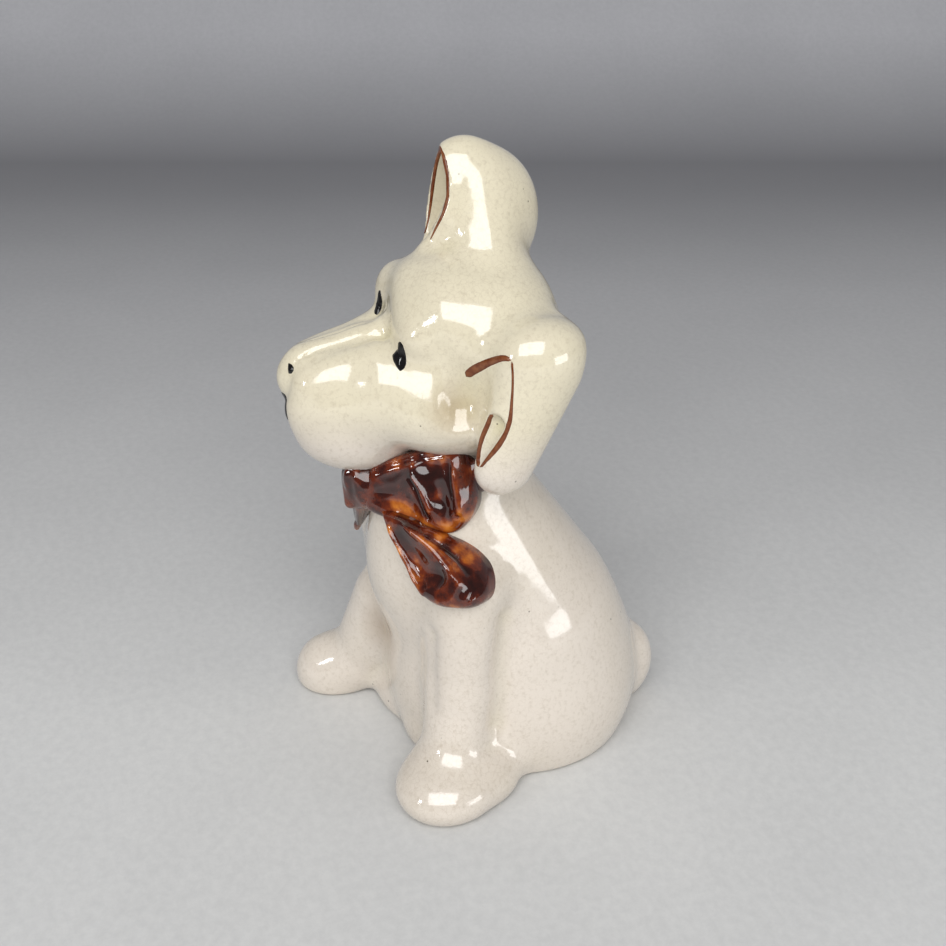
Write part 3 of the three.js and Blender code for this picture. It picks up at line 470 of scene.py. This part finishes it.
ramp.elements[1].color = colour("#c9792b")
for position, code in ((0.34, "#3a130c"), (0.58, "#6b2910"), (0.8, "#a5571d")):
    ramp.elements.new(position).color = colour(code)
tree.links.new(amber_ramp.outputs["Color"], shader.inputs["Base Color"])
ripple = add_node(tree, "TexNoise", {"Vector": place, "Scale": 1000 / brown_ripple_size, "Detail": 1.0})
bump = add_node(tree, "Bump", {"Strength": 0.12, "Distance": 0.0004, "Height": ripple})
tree.links.new(bump.outputs[0], shader.inputs["Normal"])
shader.inputs["Roughness"].default_value = 0.07
shader.inputs["IOR"].default_value = 1.7
shader.inputs["Coat Weight"].default_value = 0.15
shader.inputs["Coat Roughness"].default_value = 0.04


def add_glazed(name, field, low, high, step, thin_spots=lambda p: 0.0):
    """A piece under brown glaze, which runs thin where the clay bulges and at the spots given."""
    reach, gain, on_the_flat, at_the_spots = 1.6, 0.9, 0.27, 0.45
    points, faces = skin_mesh(field, low, high, step)
    bulge = bend_at(field, points, reach) * gain + on_the_flat + at_the_spots * thin_spots(points)
    piece = add_piece(name, points, faces, unit_slope(field, points), bend=np.clip(bulge, 0, 1.2))
    piece.data.materials.append(brown)
    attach(piece, "root")
    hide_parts(name)


ribbon_radius, half_thickness, half_height = 15.8, 2.4, 4.5


def ribbon_form(p):
    out = np.hypot(p[..., 0], p[..., 1] + 20) - ribbon_radius
    return (np.hypot(out / half_thickness, seam(p) / half_height) - 1) * half_thickness


add_glazed("neck_ribbon", ribbon_form, (-22, -42, 64), (22, 3, 98), 0.6)


# The bow's knot: a small pinched pad of clay at the throat, wrapped over the roots of loops and tails.
# Two lumps and two grooves pull it together. Like the whole bow it is brown glazed, on a finer net.
bow_step = 0.45


def knot_form(p):
    form = ellipsoid(p, (-0.9, -43, 74), (5.7, 5.2, 6.3))
    form = join(form, ellipsoid(p, (0.6, -46.6, 77), (2.4, 2, 3)), 1.5)
    form = join(form, limb(p, (-3.5, -46.4, 76), (-1.5, -46.6, 69.6), 1.6, 1.9), 1.5)
    form = form + fold_line(p, [(1.6, -47.5, 80), (2.4, -48, 73), (3.4, -46, 67.5)], 1.1, -1.1)
    return form + fold_line(p, [(-3.5, -48, 79), (-3, -49, 74), (-2, -48.5, 69)], 0.8, -0.5)


add_glazed("bow_knot", knot_form, (-12, -54, 62), (12, -32, 86), bow_step)


# The bow's two loops: folded pads of clay, pressed to the neck. A rolled edge runs along the top, and
# the folds leave ridges, a dark window and an open hollow.
def axes_along(start, along, out):
    first = np.array(along, float) / np.linalg.norm(along)
    second = np.array(out, float) - np.dot(out, first) * first
    second /= np.linalg.norm(second)
    return np.array(start, float), np.stack([first, second, np.cross(second, first)], 1)


def rounded(corners):
    """The outline with its corners cut twice, so it runs smoothly."""
    points = np.array(corners, float)
    for _ in range(2):
        ahead = np.roll(points, -1, 0)
        cuts = [0.75 * points + 0.25 * ahead, 0.25 * points + 0.75 * ahead]
        points = np.stack(cuts, 1).reshape(-1, 2)
    return points


def outline_distance(u, v, corners):
    """Distance from a flat outline, negative inside it."""
    nearest = np.full(u.shape, 1e9, u.dtype)
    inside = np.zeros(u.shape, bool)
    for (u0, v0), (u1, v1) in zip(corners.astype(u.dtype), np.roll(corners, -1, 0).astype(u.dtype)):
        run_u, run_v = u1 - u0, v1 - v0
        share = np.clip(((u - u0) * run_u + (v - v0) * run_v) / (run_u**2 + run_v**2), 0, 1)
        nearest = np.minimum(nearest, (u - u0 - share * run_u) ** 2 + (v - v0 - share * run_v) ** 2)
        inside ^= ((v0 > v) != (v1 > v)) & (u < u0 + (v - v0) / (run_v if run_v else 1e-9) * run_u)
    return np.sqrt(nearest) * np.where(inside, -1, 1).astype(u.dtype)


def clay_face(spots, base):
    """A smooth pressed face: its height at any u and v, through the spots' heights."""
    spots = np.array(spots, float)
    softness = 2

    def sway(u, v):
        return np.sqrt((u[..., None] - spots[:, 0]) ** 2 + (v[..., None] - spots[:, 1]) ** 2 + softness**2)

    weights = np.linalg.solve(sway(spots[:, 0], spots[:, 1]), spots[:, 2] - base)

    def height(u, v):
        return (base + sway(u, v) @ weights).astype(u.dtype)

    return height


def pad(q, corners, half, edge):
    """A pad of clay with that outline and half thickness, and edges rounded to that radius."""
    across = outline_distance(q[..., 0], q[..., 2], corners) + edge
    out = np.abs(q[..., 1]) - half + edge
    outside = np.hypot(np.maximum(across, 0), np.maximum(out, 0))
    return np.minimum(np.maximum(across, out), 0) + outside - edge


def with_folds(q, form, folds):
    """The form with its fold lines, each with its place across the pad, width, height and course."""
    for out, width, height, course in folds:
        form = form + fold_line(q, [(u, out, v) for u, v in course], width, height)
    return form


def thin_at(q, spots):
    """One at each spot, fading out over its reach."""
    return sum(np.exp(-((q[..., 0] - u) ** 2 + (q[..., 2] - v) ** 2) / reach**2) for u, v, reach in spots)


loop_stretch = 0.98
loop_start, loop_axes = axes_along((1, -42.5, 73.4), (17, 20.5, 3), (0.75, -0.65, 0.24))
loop_axes = loop_axes * [1, 1, loop_stretch]
loop_outline = rounded([
    (0.4, 5.5), (4.4, 7.5), (7.8, 8.6), (12.2, 10.2), (16.6, 11.4), (20.9, 12.5), (23.4, 14.4),
    (24.6, 14.6), (24.8, 12.1), (25.6, 8.7), (26.6, 5.6), (27.2, 2.8), (27.3, -0.3), (26.6, -2.8),
    (25.2, -5.3), (23, -7.6), (20.6, -8.6), (16.5, -8.4), (10.7, -7.5), (5.8, -6.3), (2.1, -5.4),
    (-1.1, -3.8),
])
# The rolled top edge, the dip under it, the window and the ridge beside it, the fold at the end, the hollow
# and the lower edge, in that order.
loop_face = clay_face([
    (2.1, 6.4, 4.4), (8, 8.5, 4.8), (12.4, 9.9, 4.9), (16.7, 10.8, 4.8), (21, 11.9, 4.7), (23.7, 13.2, 4.2),
    (4.6, 5.2, 4.1), (10.2, 6.7, 4.1), (15.5, 8.1, 4), (19, 8.8, 4),
    (15.2, 6.2, 4.5), (18, 5.8, 4.2), (20.5, 7, 4.2), (17.2, 3, 4.5), (20, 2.5, 4.2),
    (12.5, 6, 4.8), (14.7, 3.6, 5), (16.1, 1, 5.2), (17.5, -2.1, 5.3),
    (22.4, 10.7, 4.1), (23, 6.9, 4.9), (23.8, 3.4, 5.4), (24.6, -0.3, 5.7), (24.6, -3.1, 5.3),
    (25.7, 7, 4.1), (27.2, 3.3, 3.7), (27.6, -0.5, 3.6), (19.3, -0.8, 4), (21, -4.2, 4.3),
    (3.1, 1.8, 4.1), (7, 2.3, 4), (11.4, 2.2, 4.2), (5.3, -1.3, 3.9), (7.8, -1.8, 3.6), (10.4, -2.7, 3.7),
    (13.3, -3.6, 4.0), (4.2, -4.1, 4.2), (10.2, -5.4, 4.5), (16.1, -6.2, 4.5), (21.4, -6.5, 4.3),
    (25.2, -4.6, 4.3),
], 4.2)
# Grooves under the rolled edge, beside the ridge and beside the fold, three ridges, and the hollow's lip.
loop_folds = [
    (4.2, 0.6, -0.5, [(3.5, 5.8), (10, 7.7), (15, 9.2), (20, 10.2)]),
    (4.4, 0.7, -0.6, [(12, 4.4), (13.6, 2), (15, -1.5), (16.4, -4.4)]),
    (4.4, 0.7, -0.6, [(21.3, 8.4), (22, 4), (23, 0), (23.6, -3.4)]),
    (5.2, 0.7, 0.5, [(3, 6.6), (8, 8.4), (13, 9.9)]),
    (5.4, 0.6, 0.5, [(12.6, 5), (15, 2), (17, -2.4)]),
    (5.6, 0.8, 0.6, [(22.6, 9.5), (23.6, 4), (24.6, -1.8)]),
    (4.4, 0.6, -0.5, [(4, 0.3), (8, 0.6), (11.5, 0.2)]),
]
loop_thin_spots = [
    (7, -1.8, 2.2), (10, -2.6, 2.2), (13, -4, 1.8), (9, 7.2, 1.8), (12.5, 8.2, 1.6), (17, 9.4, 1.8),
    (20.4, 9.6, 2), (20.5, -6, 2), (25, -4, 1.8), (26.8, 7, 1.3), (16, -6.5, 1.6), (19, 1, 1.6),
]


def left_loop(p):
    q = (p - loop_start.astype(p.dtype)) @ loop_axes.astype(p.dtype)
    form = pad(q, loop_outline, loop_face(q[..., 0], q[..., 2]), 3.0)
    return with_folds(q, form, loop_folds)


def left_loop_thin(p):
    return thin_at((p - loop_start) @ loop_axes, loop_thin_spots)


def mirrored(p):
    return p * np.array([-1, 1, 1], p.dtype)


def right_loop(p):
    return left_loop(mirrored(p))


def right_loop_thin(p):
    return left_loop_thin(mirrored(p))


add_glazed("left_bow_loop", left_loop, (-5, -54, 55), (38, -5, 95), bow_step, left_loop_thin)
add_glazed("right_bow_loop", right_loop, (-38, -54, 55), (5, -5, 95), bow_step, right_loop_thin)


# The bow's tails, pressed to the chest: a broad left one, folded into a dished leaf and a round lobe with a
# curled ridge between them, and a short pointed right one.
tail_start, tail_axes = axes_along((2, -41.5, 68), (22, 13.5, -15), (0.6, -0.72, 0.35))
tail_outline = rounded([
    (1.5, 3.4), (3.8, 2.2), (6.8, 1.5), (10.3, 0.4), (14.7, -1.4), (19.5, -2.9), (23.3, -3.2), (26.3, -2.3),
    (28.8, -0.8), (31, 1), (33, 2.6), (34, 4.1), (34.2, 5.6), (33.4, 7), (32, 8.3), (30.2, 9.4),
    (28.2, 10.3), (26, 10.8), (24, 11), (22.2, 11), (20.2, 10.8), (17.5, 10.2), (14.3, 9.4), (9.5, 8),
    (5.7, 6.2),
])
# The left edge, the dish, the ridge that curls back under it, the groove beside the ridge, the round lobe
# and the lower edge, in that order.
tail_face = clay_face([
    (5.8, 3.2, 3.9), (9.2, 1.8, 4), (14.1, -0.4, 4), (18.7, -1.7, 3.9), (23.4, -2.7, 3.6),
    (9.8, 3.3, 3.4), (13.1, 2.6, 2.9), (16.4, 0.7, 2.8), (19.8, 0, 2.7), (22.7, 1.3, 3), (17.9, 3.2, 3),
    (6.8, 5.4, 4.2), (9.4, 6.5, 4.3), (13, 7.4, 4.5), (16.7, 7.6, 4.6), (19.8, 7.8, 4.7), (23, 8, 4.8),
    (25.9, 8, 4.8), (28.2, 7.2, 4.6), (28.5, 4.6, 4.4), (26.1, 1.5, 3.9), (24.1, 5.3, 3.7), (24.9, 3, 3.4),
    (16, 9.6, 3.3), (19.3, 9.8, 3), (22.4, 9.9, 2.8), (25.8, 9.6, 2.7), (28.7, 8.8, 2.7), (30, 7, 3),
    (21.4, 11.6, 2.4), (24.6, 11.4, 2.2), (27.6, 10.9, 2.1), (31, 9.6, 2),
    (33.2, 7.6, 2), (32.6, 5.6, 2.8), (26, -1.2, 3.5), (30.2, 2.3, 3.3), (33.9, 4.6, 2.3),
], 3.8)
# The left rim and the groove beside it, the curled ridge, and the grooves round the lobe.
tail_folds = [
    (3.6, 0.7, 0.5, [(4.5, 2.8), (9, 1.6), (14, -0.2), (19, -1.9), (23, -2.4)]),
    (3.4, 0.6, -0.4, [(7, 3.7), (12, 2), (18, 0.2), (22.5, -0.6)]),
    (4.8, 0.9, 0.7, [(8, 6.2), (13, 7.3), (18, 7.8), (22, 7.9), (25.6, 7.4), (27.3, 5.6), (26.6, 3)]),
    (3.8, 0.6, -0.7, [(15, 8.9), (19.5, 9), (23.5, 9.2), (27.5, 8.9)]),
    (3.8, 0.5, -0.35, [(20.5, 10.9), (25, 10.9), (29.3, 9.6)]),
    (3.8, 0.5, -0.3, [(29.3, 8.2), (31.4, 7), (32, 5)]),
]
tail_thin_spots = [
    (19.5, 0.2, 2), (16.5, 1.5, 1.6), (21.8, 10.2, 1.4), (25, 10.2, 1.5), (7.5, 2.8, 1.2), (17, 9.6, 1.2),
    (31, 1.5, 1.5), (27, -1.5, 1.5), (32.5, 10.5, 1.6), (35, 7, 1.3), (29, 12.8, 1.3), (12, 0.3, 1.1),
]
tail_depth, tail_sunk, tail_swell = 9, 0.7, 0.07


def left_tail(p):
    q = (p - tail_start.astype(p.dtype)) @ tail_axes.astype(p.dtype)
    far_side = np.abs(q[..., 1]) - tail_depth
    q[..., 1] = body_form(p) - tail_sunk
    half = tail_face(q[..., 0], q[..., 2]) + tail_swell * (q[..., 0] - 14)
    form = with_folds(q, pad(q, tail_outline, half, 2.6), tail_folds)
    return np.maximum(form, far_side)


def left_tail_thin(p):
    return thin_at((p - tail_start) @ tail_axes, tail_thin_spots)


def right_tail(p):
    form = limb(p, (-3, -43, 69), (-10.6, -43.2, 56), 3.2, 0.7)
    return form + fold_line(p, [(-2.5, -45.5, 69), (-9, -44, 58.6)], 0.9, -0.6)


add_glazed("left_bow_tail", left_tail, (-5, -54, 32), (44, -5, 84), bow_step, left_tail_thin)
add_glazed("right_bow_tail", right_tail, (-20, -54, 50), (5, -30, 80), bow_step)


# The eyes, nostrils and mouth: thick black enamel, laid on by brush over the glaze, so each stands proud.
# Fired overglaze enamel is smooth and glossy, nearly black, with a faint cloud in it.
black_cloud_size = 1.11111
black, tree, shader, place = new_material("black_enamel")
cloud = add_node(tree, "TexNoise", {"Vector": place, "Scale": 1000 / black_cloud_size, "Detail": 2.0})
tone = add_node(tree, "Mix", {0: cloud, 6: colour("#0a0a0b"), 7: colour("#1c1a1a")}, data_type="RGBA")
tree.links.new(tone.outputs[2], shader.inputs["Base Color"])
shader.inputs["Roughness"].default_value = 0.12
shader.inputs["IOR"].default_value = 1.5
enamel_sunk = 0.25


def on_skin(points, height):
    return settled(head_skin, points.reshape(-1, 3).astype(np.float32), height, 12, 1)


def add_enamel(name, rows, heights, material, slot_name, wraps, **layers):
    """A closed skin of enamel: rows of points at their heights over the glaze, and sunk just under it."""
    count, across = rows.shape[:2]
    size = count * across
    points = np.concatenate([on_skin(rows, heights), on_skin(rows, np.full(size, -enamel_sunk))])
    top = []
    for i in range(count - 1):
        for j in range(across if wraps else across - 1):
            a, b = i * across + j, i * across + (j + 1) % across
            top.append([a, b, b + across, a + across])
    under = [[a + size for a in face[::-1]] for face in top]
    if wraps:
        ring = [(count - 1) * across + j for j in range(across)]
    else:
        ring = list(range(across)) + [i * across + across - 1 for i in range(1, count)]
        ring += [(count - 1) * across + j for j in range(across - 2, -1, -1)]
        ring += [i * across for i in range(count - 2, 0, -1)]
    edge = [[b, a, a + size, b + size] for a, b in zip(ring, ring[1:] + ring[:1])]
    piece = add_piece(name, points, np.array(top + under + edge), **layers)
    merged = bmesh.new()
    merged.from_mesh(piece.data)
    bmesh.ops.remove_doubles(merged, verts=merged.verts, dist=1e-6)
    bmesh.ops.recalc_face_normals(merged, faces=merged.faces)
    merged.to_mesh(piece.data)
    merged.free()
    piece.data.polygons.foreach_set("use_smooth", [True] * len(piece.data.polygons))
    piece.data.materials.append(material)
    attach(piece, "root")
    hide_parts(name)


def add_spot(name, outline):
    """A round-edged spot of enamel on the face, inside an outline given by points in the head's axes."""
    around, ring_count, thickness = 72, 9, 0.42
    corners = np.array(outline + outline[:1], float)
    run = np.concatenate([[0], np.cumsum(np.linalg.norm(np.diff(corners, axis=0), axis=1))])
    steps = np.linspace(0, run[-1], around, endpoint=False)
    border = np.stack([np.interp(steps, run, corners[:, i]) for i in range(3)], 1)
    for _ in range(2):
        border = (np.roll(border, 1, 0) + 2 * border + np.roll(border, -1, 0)) / 4
    middle = border.mean(0)
    rings = np.linspace(0.0, 1.0, ring_count) ** 0.8
    rows = [(middle + (border - middle) * ring) @ head_turn.T + head_centre for ring in rings]
    heights = np.repeat([thickness * (1 - ring**3) - 0.05 for ring in rings], around)
    add_enamel(name, np.array(rows), heights, black, "black_enamel", True)


add_spot("left_eye", [
    (10.8, -16.6, 7.4), (11.6, -16.3, 8.2), (12.6, -15.8, 7.9), (13.2, -15.3, 6), (13.9, -15.1, 3.6),
    (14.4, -15.7, 2.6), (14.4, -16.6, 1.9), (13.7, -17.2, 2.4), (12.1, -17.9, 3.4), (10.7, -18, 4.2),
    (10.6, -17.2, 5.2), (11.1, -16.6, 6.2),
])
add_spot("right_eye", [
    (-8.8, -18.5, 9.8), (-7.9, -18.1, 10.4), (-7.1, -18, 9.2), (-6.5, -17.9, 8), (-6.1, -18.3, 6),
    (-5.5, -19.4, 5), (-6.3, -19.8, 4.9), (-7.6, -19.8, 5.3), (-8.8, -19.2, 6.2), (-8.9, -18.6, 7.8),
])
add_spot("left_nostril", [
    (2.4, -40.3, -0.8), (3.2, -39.6, -0.8), (4, -39.2, -1.2), (4.5, -39.2, -1.8), (4.4, -39.7, -2.6),
    (3.8, -40.4, -2.9), (3.1, -40.5, -2),
])
add_spot("right_nostril", [
    (-3.6, -39.8, -1.8), (-4.6, -39, -1.8), (-5.1, -38.6, -2.8), (-4.8, -39, -3.6), (-4.1, -39.8, -3.8),
    (-3.6, -40.2, -2.8),
])
add_spot("mouth", [
    (3.4, -42.2, -8.6), (4.7, -42, -9.4), (5.5, -41.7, -11), (6.4, -41.2, -13.2), (6, -41.4, -14.2),
    (3.6, -42.2, -14.9), (1, -42.4, -14.5), (-0.6, -42.5, -12.6), (-0.4, -42.6, -10.4), (1.4, -42.4, -8.8),
])


# The brushed lines round the ears: brown enamel drawn on with a fine brush, thick where the brush pressed.
# Thin overglaze enamel, satin, streaked along the stroke and darker where it gathers at the stroke's rim.
streak_size = 1.42857
line_paint, tree, shader, place = new_material("brown_brushed_enamel")
streak = add_node(tree, "TexNoise", {"Vector": place, "Scale": 1000 / streak_size, "Detail": 3.0})
streak = add_node(tree, "MapRange", {"Value": streak, "From Min": 0.35, "From Max": 0.65})
edge = add_node(tree, "Attribute", attribute_name="edge").outputs["Fac"]
tone = colour("#87512f")
for code, share in (("#6a3214", streak), ("#5a280f", edge)):
    tone = add_node(tree, "Mix", {0: share, 6: tone, 7: colour(code)}, data_type="RGBA").outputs[2]
tree.links.new(tone, shader.inputs["Base Color"])
shader.inputs["Roughness"].default_value = 0.22


def add_stroke(name, points, widths):
    """A brushed line over the glaze, through its points, with a width at each."""
    spacing, smoothing, columns, thickness = 0.5, 6, 9, 0.16
    points = np.array(points, float)
    run = np.concatenate([[0], np.cumsum(np.linalg.norm(np.diff(points, axis=0), axis=1))])
    steps = max(8, int(run[-1] / spacing))
    share = np.linspace(0, run[-1], steps)
    middle = np.stack([np.interp(share, run, points[:, i]) for i in range(3)], 1)
    for _ in range(smoothing):
        middle[1:-1] = (middle[:-2] + 2 * middle[1:-1] + middle[2:]) / 4
    middle = on_skin(middle, np.zeros(steps))
    across = np.cross(np.gradient(middle, axis=0), slope_of(head_skin, middle))
    across /= np.linalg.norm(across, axis=1, keepdims=True)
    half = np.interp(share, run, widths) / 2
    tip = np.clip(np.minimum(share, run[-1] - share) / np.maximum(half, 0.3), 0, 1)
    half = half * np.sqrt(np.clip(1 - (1 - tip) ** 2, 0.02, 1))
    offsets = np.linspace(-1, 1, columns)
    rows = middle[:, None] + (across * half[:, None])[:, None] * offsets[None, :, None]
    heights = np.tile(thickness * (1 - offsets**2) - 0.03, steps)
    rim = np.tile(np.abs(offsets) ** 2, steps)
    rim = np.concatenate([rim, rim * 0 + 1])
    add_enamel(name, rows, heights, line_paint, "brown_enamel", False, edge=rim)


add_stroke("folded_ear_upper_line", [
    (16, -24, 106.3), (17.2, -23.1, 108), (18.4, -22.1, 109.2), (20.2, -20.7, 110.8), (22.9, -19.8, 112.6),
    (25.3, -18.5, 114.1), (26.5, -17.7, 113.8),
], [2.0, 2.3, 2.3, 2.0, 1.8, 1.4, 0.8])
add_stroke("folded_ear_edge_line", [
    (26.7, -17.6, 113.6), (27.3, -17.6, 111.5), (27.8, -17.8, 107.5), (28.2, -18.2, 103.5),
    (28.4, -18.5, 100.5), (28.3, -19.7, 97.2), (27.8, -21, 94.6), (27, -22.7, 91.8), (25.9, -24.4, 89),
], [0.6, 0.6, 0.6, 0.8, 1.1, 1.4, 1.6, 1.4, 0.9])
add_stroke("folded_ear_front_line", [
    (25.2, -21.3, 101), (24.1, -22.1, 98.2), (23.7, -23.2, 95), (23.5, -23.9, 91.8), (24.1, -24.4, 89.5),
    (25.5, -24.5, 88.9),
], [1.0, 1.5, 1.6, 1.6, 1.4, 1.0])
add_stroke("standing_ear_line", [
    (-5.2, -24.6, 130.2), (-4.5, -24, 132.3), (-3.7, -23.3, 134.3), (-3.4, -22.3, 136.3),
    (-3.6, -21.6, 138.3), (-4, -21, 140.8), (-4.9, -20.8, 143.2), (-5.7, -20.7, 145), (-6.9, -20.7, 147),
    (-8.3, -20.8, 148.4), (-9.9, -20.8, 149), (-12, -20.3, 148.2), (-13.7, -19.6, 146.7),
    (-15, -19.7, 144.8), (-16, -19.9, 142), (-16.5, -20.3, 138), (-16.3, -20.8, 134.5),
    (-15.6, -21.7, 131), (-14.4, -23, 128.2),
], [0.3, 0.5, 0.7, 1.0, 1.2, 1.4, 1.7, 1.9, 1.9, 1.7, 1.5, 1.3, 1.2, 1.1, 1.0, 0.9, 0.7, 0.5, 0.3])


# The stage: a sweep of grey paper that runs flat under the dog and curves up far behind it. It is matt
# background paper with a fine felt grain. Its colour carries painted light and shade along the paper:
# palest under the dog, a painted shadow dark at the foot of the bend, and paler again above it. Places
# along the paper are in metres from the dog.
paper_grain_size, paper_cloud_size = 2.63158, 71.4286
paper, tree, shader, place = new_material("grey_paper")
grain = {"Vector": place, "Scale": 1000 / paper_grain_size, "Detail": 4.0, "Roughness": 0.7}
grain = add_node(tree, "TexNoise", grain)
grain = add_node(tree, "MapRange", {"Value": grain, "From Min": 0.35, "From Max": 0.65, "To Max": 0.12})
cloud = add_node(tree, "TexNoise", {"Vector": place, "Scale": 1000 / paper_cloud_size, "Detail": 3.0})
cloud = add_node(tree, "MapRange", {"Value": cloud, "From Min": 0.4, "From Max": 0.7, "To Max": 0.08})
# Painted light and shade: the ramp along the paper brightens it under the dog and darkens the foot of the
# bend.
run = add_node(tree, "Attribute", attribute_name="run").outputs["Fac"]
ramp_start, ramp_end = -0.2, 0.8
run = add_node(tree, "MapRange", {"Value": run, "From Min": ramp_start, "From Max": ramp_end})
painted_light_falloff = add_node(tree, "ValToRGB", {"Fac": run})
ramp = painted_light_falloff.color_ramp
ramp.elements[0].color = colour("#cccccb")
ramp.elements[1].color = colour("#c4c4c6")
for along, code in ((0.0, "#d6d6d4"), (0.28, "#b4b4b5"), (0.46, "#808083"), (0.58, "#bababd")):
    position = (along - ramp_start) / (ramp_end - ramp_start)
    ramp.elements.new(position).color = colour(code)
tone = painted_light_falloff
for code, share in (("#808084", grain), ("#77787c", cloud)):
    tone = add_node(tree, "Mix", {0: share, 6: tone, 7: colour(code)}, data_type="RGBA").outputs[2]
tree.links.new(tone, shader.inputs["Base Color"])
shader.inputs["Roughness"].default_value = 0.85
half_width, near_end, flat_end, bend_radius = 3.0, -3.0, 0.42, 0.25
away = Vector((look.x, look.y, 0)).normalized()
left = Vector((-away.y, away.x, 0))
profile = [(near_end, 0.0), (flat_end, 0.0)]
for a in np.radians(np.arange(4, 89, 4)):
    profile.append((flat_end + bend_radius * math.sin(a), bend_radius - bend_radius * math.cos(a)))
profile += [(0.68, 0.3), (0.70, 1.6)]
count = len(profile)
points = []
for sideways in (-half_width, half_width):
    points += [tuple(away * far + left * sideways + Vector((0, 0, up))) for far, up in profile]
faces = [(i, i + 1, count + i + 1, count + i) for i in range(count - 1)]
sheet = bpy.data.meshes.new("paper_sweep")
sheet.from_pydata(points, [], faces)
sheet.polygons.foreach_set("use_smooth", [True] * len(sheet.polygons))
lengths = np.cumsum([0] + [math.dist(a, b) for a, b in zip(profile, profile[1:])]) + near_end
along = sheet.attributes.new("run", "FLOAT", "POINT")
along.data.foreach_set("value", np.tile(lengths, 2).astype(np.float32))
sheet.materials.append(paper)
floor = bpy.data.objects.new("paper_sweep", sheet)
bpy.context.scene.collection.objects.link(floor)


# The light: a big softbox over the camera, a small lamp to the left, a low softbox to the right, and a
# pale room, of which the glaze mirrors only the dim side behind the camera. Lengths are in metres.
def add_softbox(name, azimuth, elevation, distance, width, height, power, aim):
    a, e = math.radians(azimuth), math.radians(elevation)
    back = Vector((math.sin(a) * math.cos(e), -math.cos(a) * math.cos(e), math.sin(e)))
    lamp = bpy.data.lights.new(name, "AREA")
    lamp.shape = "RECTANGLE"
    lamp.size, lamp.size_y = width, height
    lamp.energy = power
    softbox = bpy.data.objects.new(name, lamp)
    stand_at = Matrix.Translation(Vector((0, 0, aim)) + back * distance)
    softbox.matrix_world = stand_at @ back.to_track_quat("Z", "Y").to_matrix().to_4x4()
    bpy.context.scene.collection.objects.link(softbox)


add_softbox("key_softbox", 66, 44, 1.1, 1.1, 0.75, 10.5, 0.07)
add_softbox("left_lamp", 18, 18, 0.7, 0.07, 0.12, 0.5, 0.07)
add_softbox("right_softbox", 126, 6, 0.6, 0.26, 0.16, 0.5, 0.045)
room_light, mirrored_light = 0.42, 0.14
world = bpy.data.worlds.new("room")
bpy.context.scene.world = world
world.use_nodes = True
tree = world.node_tree
background = tree.nodes["Background"]
background.inputs["Color"].default_value = colour("#dfe0e4")
glossy = add_node(tree, "LightPath").outputs["Is Glossy Ray"]
strength = add_node(tree, "MapRange", {"Value": glossy, "To Min": room_light, "To Max": mirrored_light})
tree.links.new(strength.outputs[0], background.inputs["Strength"])
bpy.context.scene.view_settings.view_transform = "Standard"
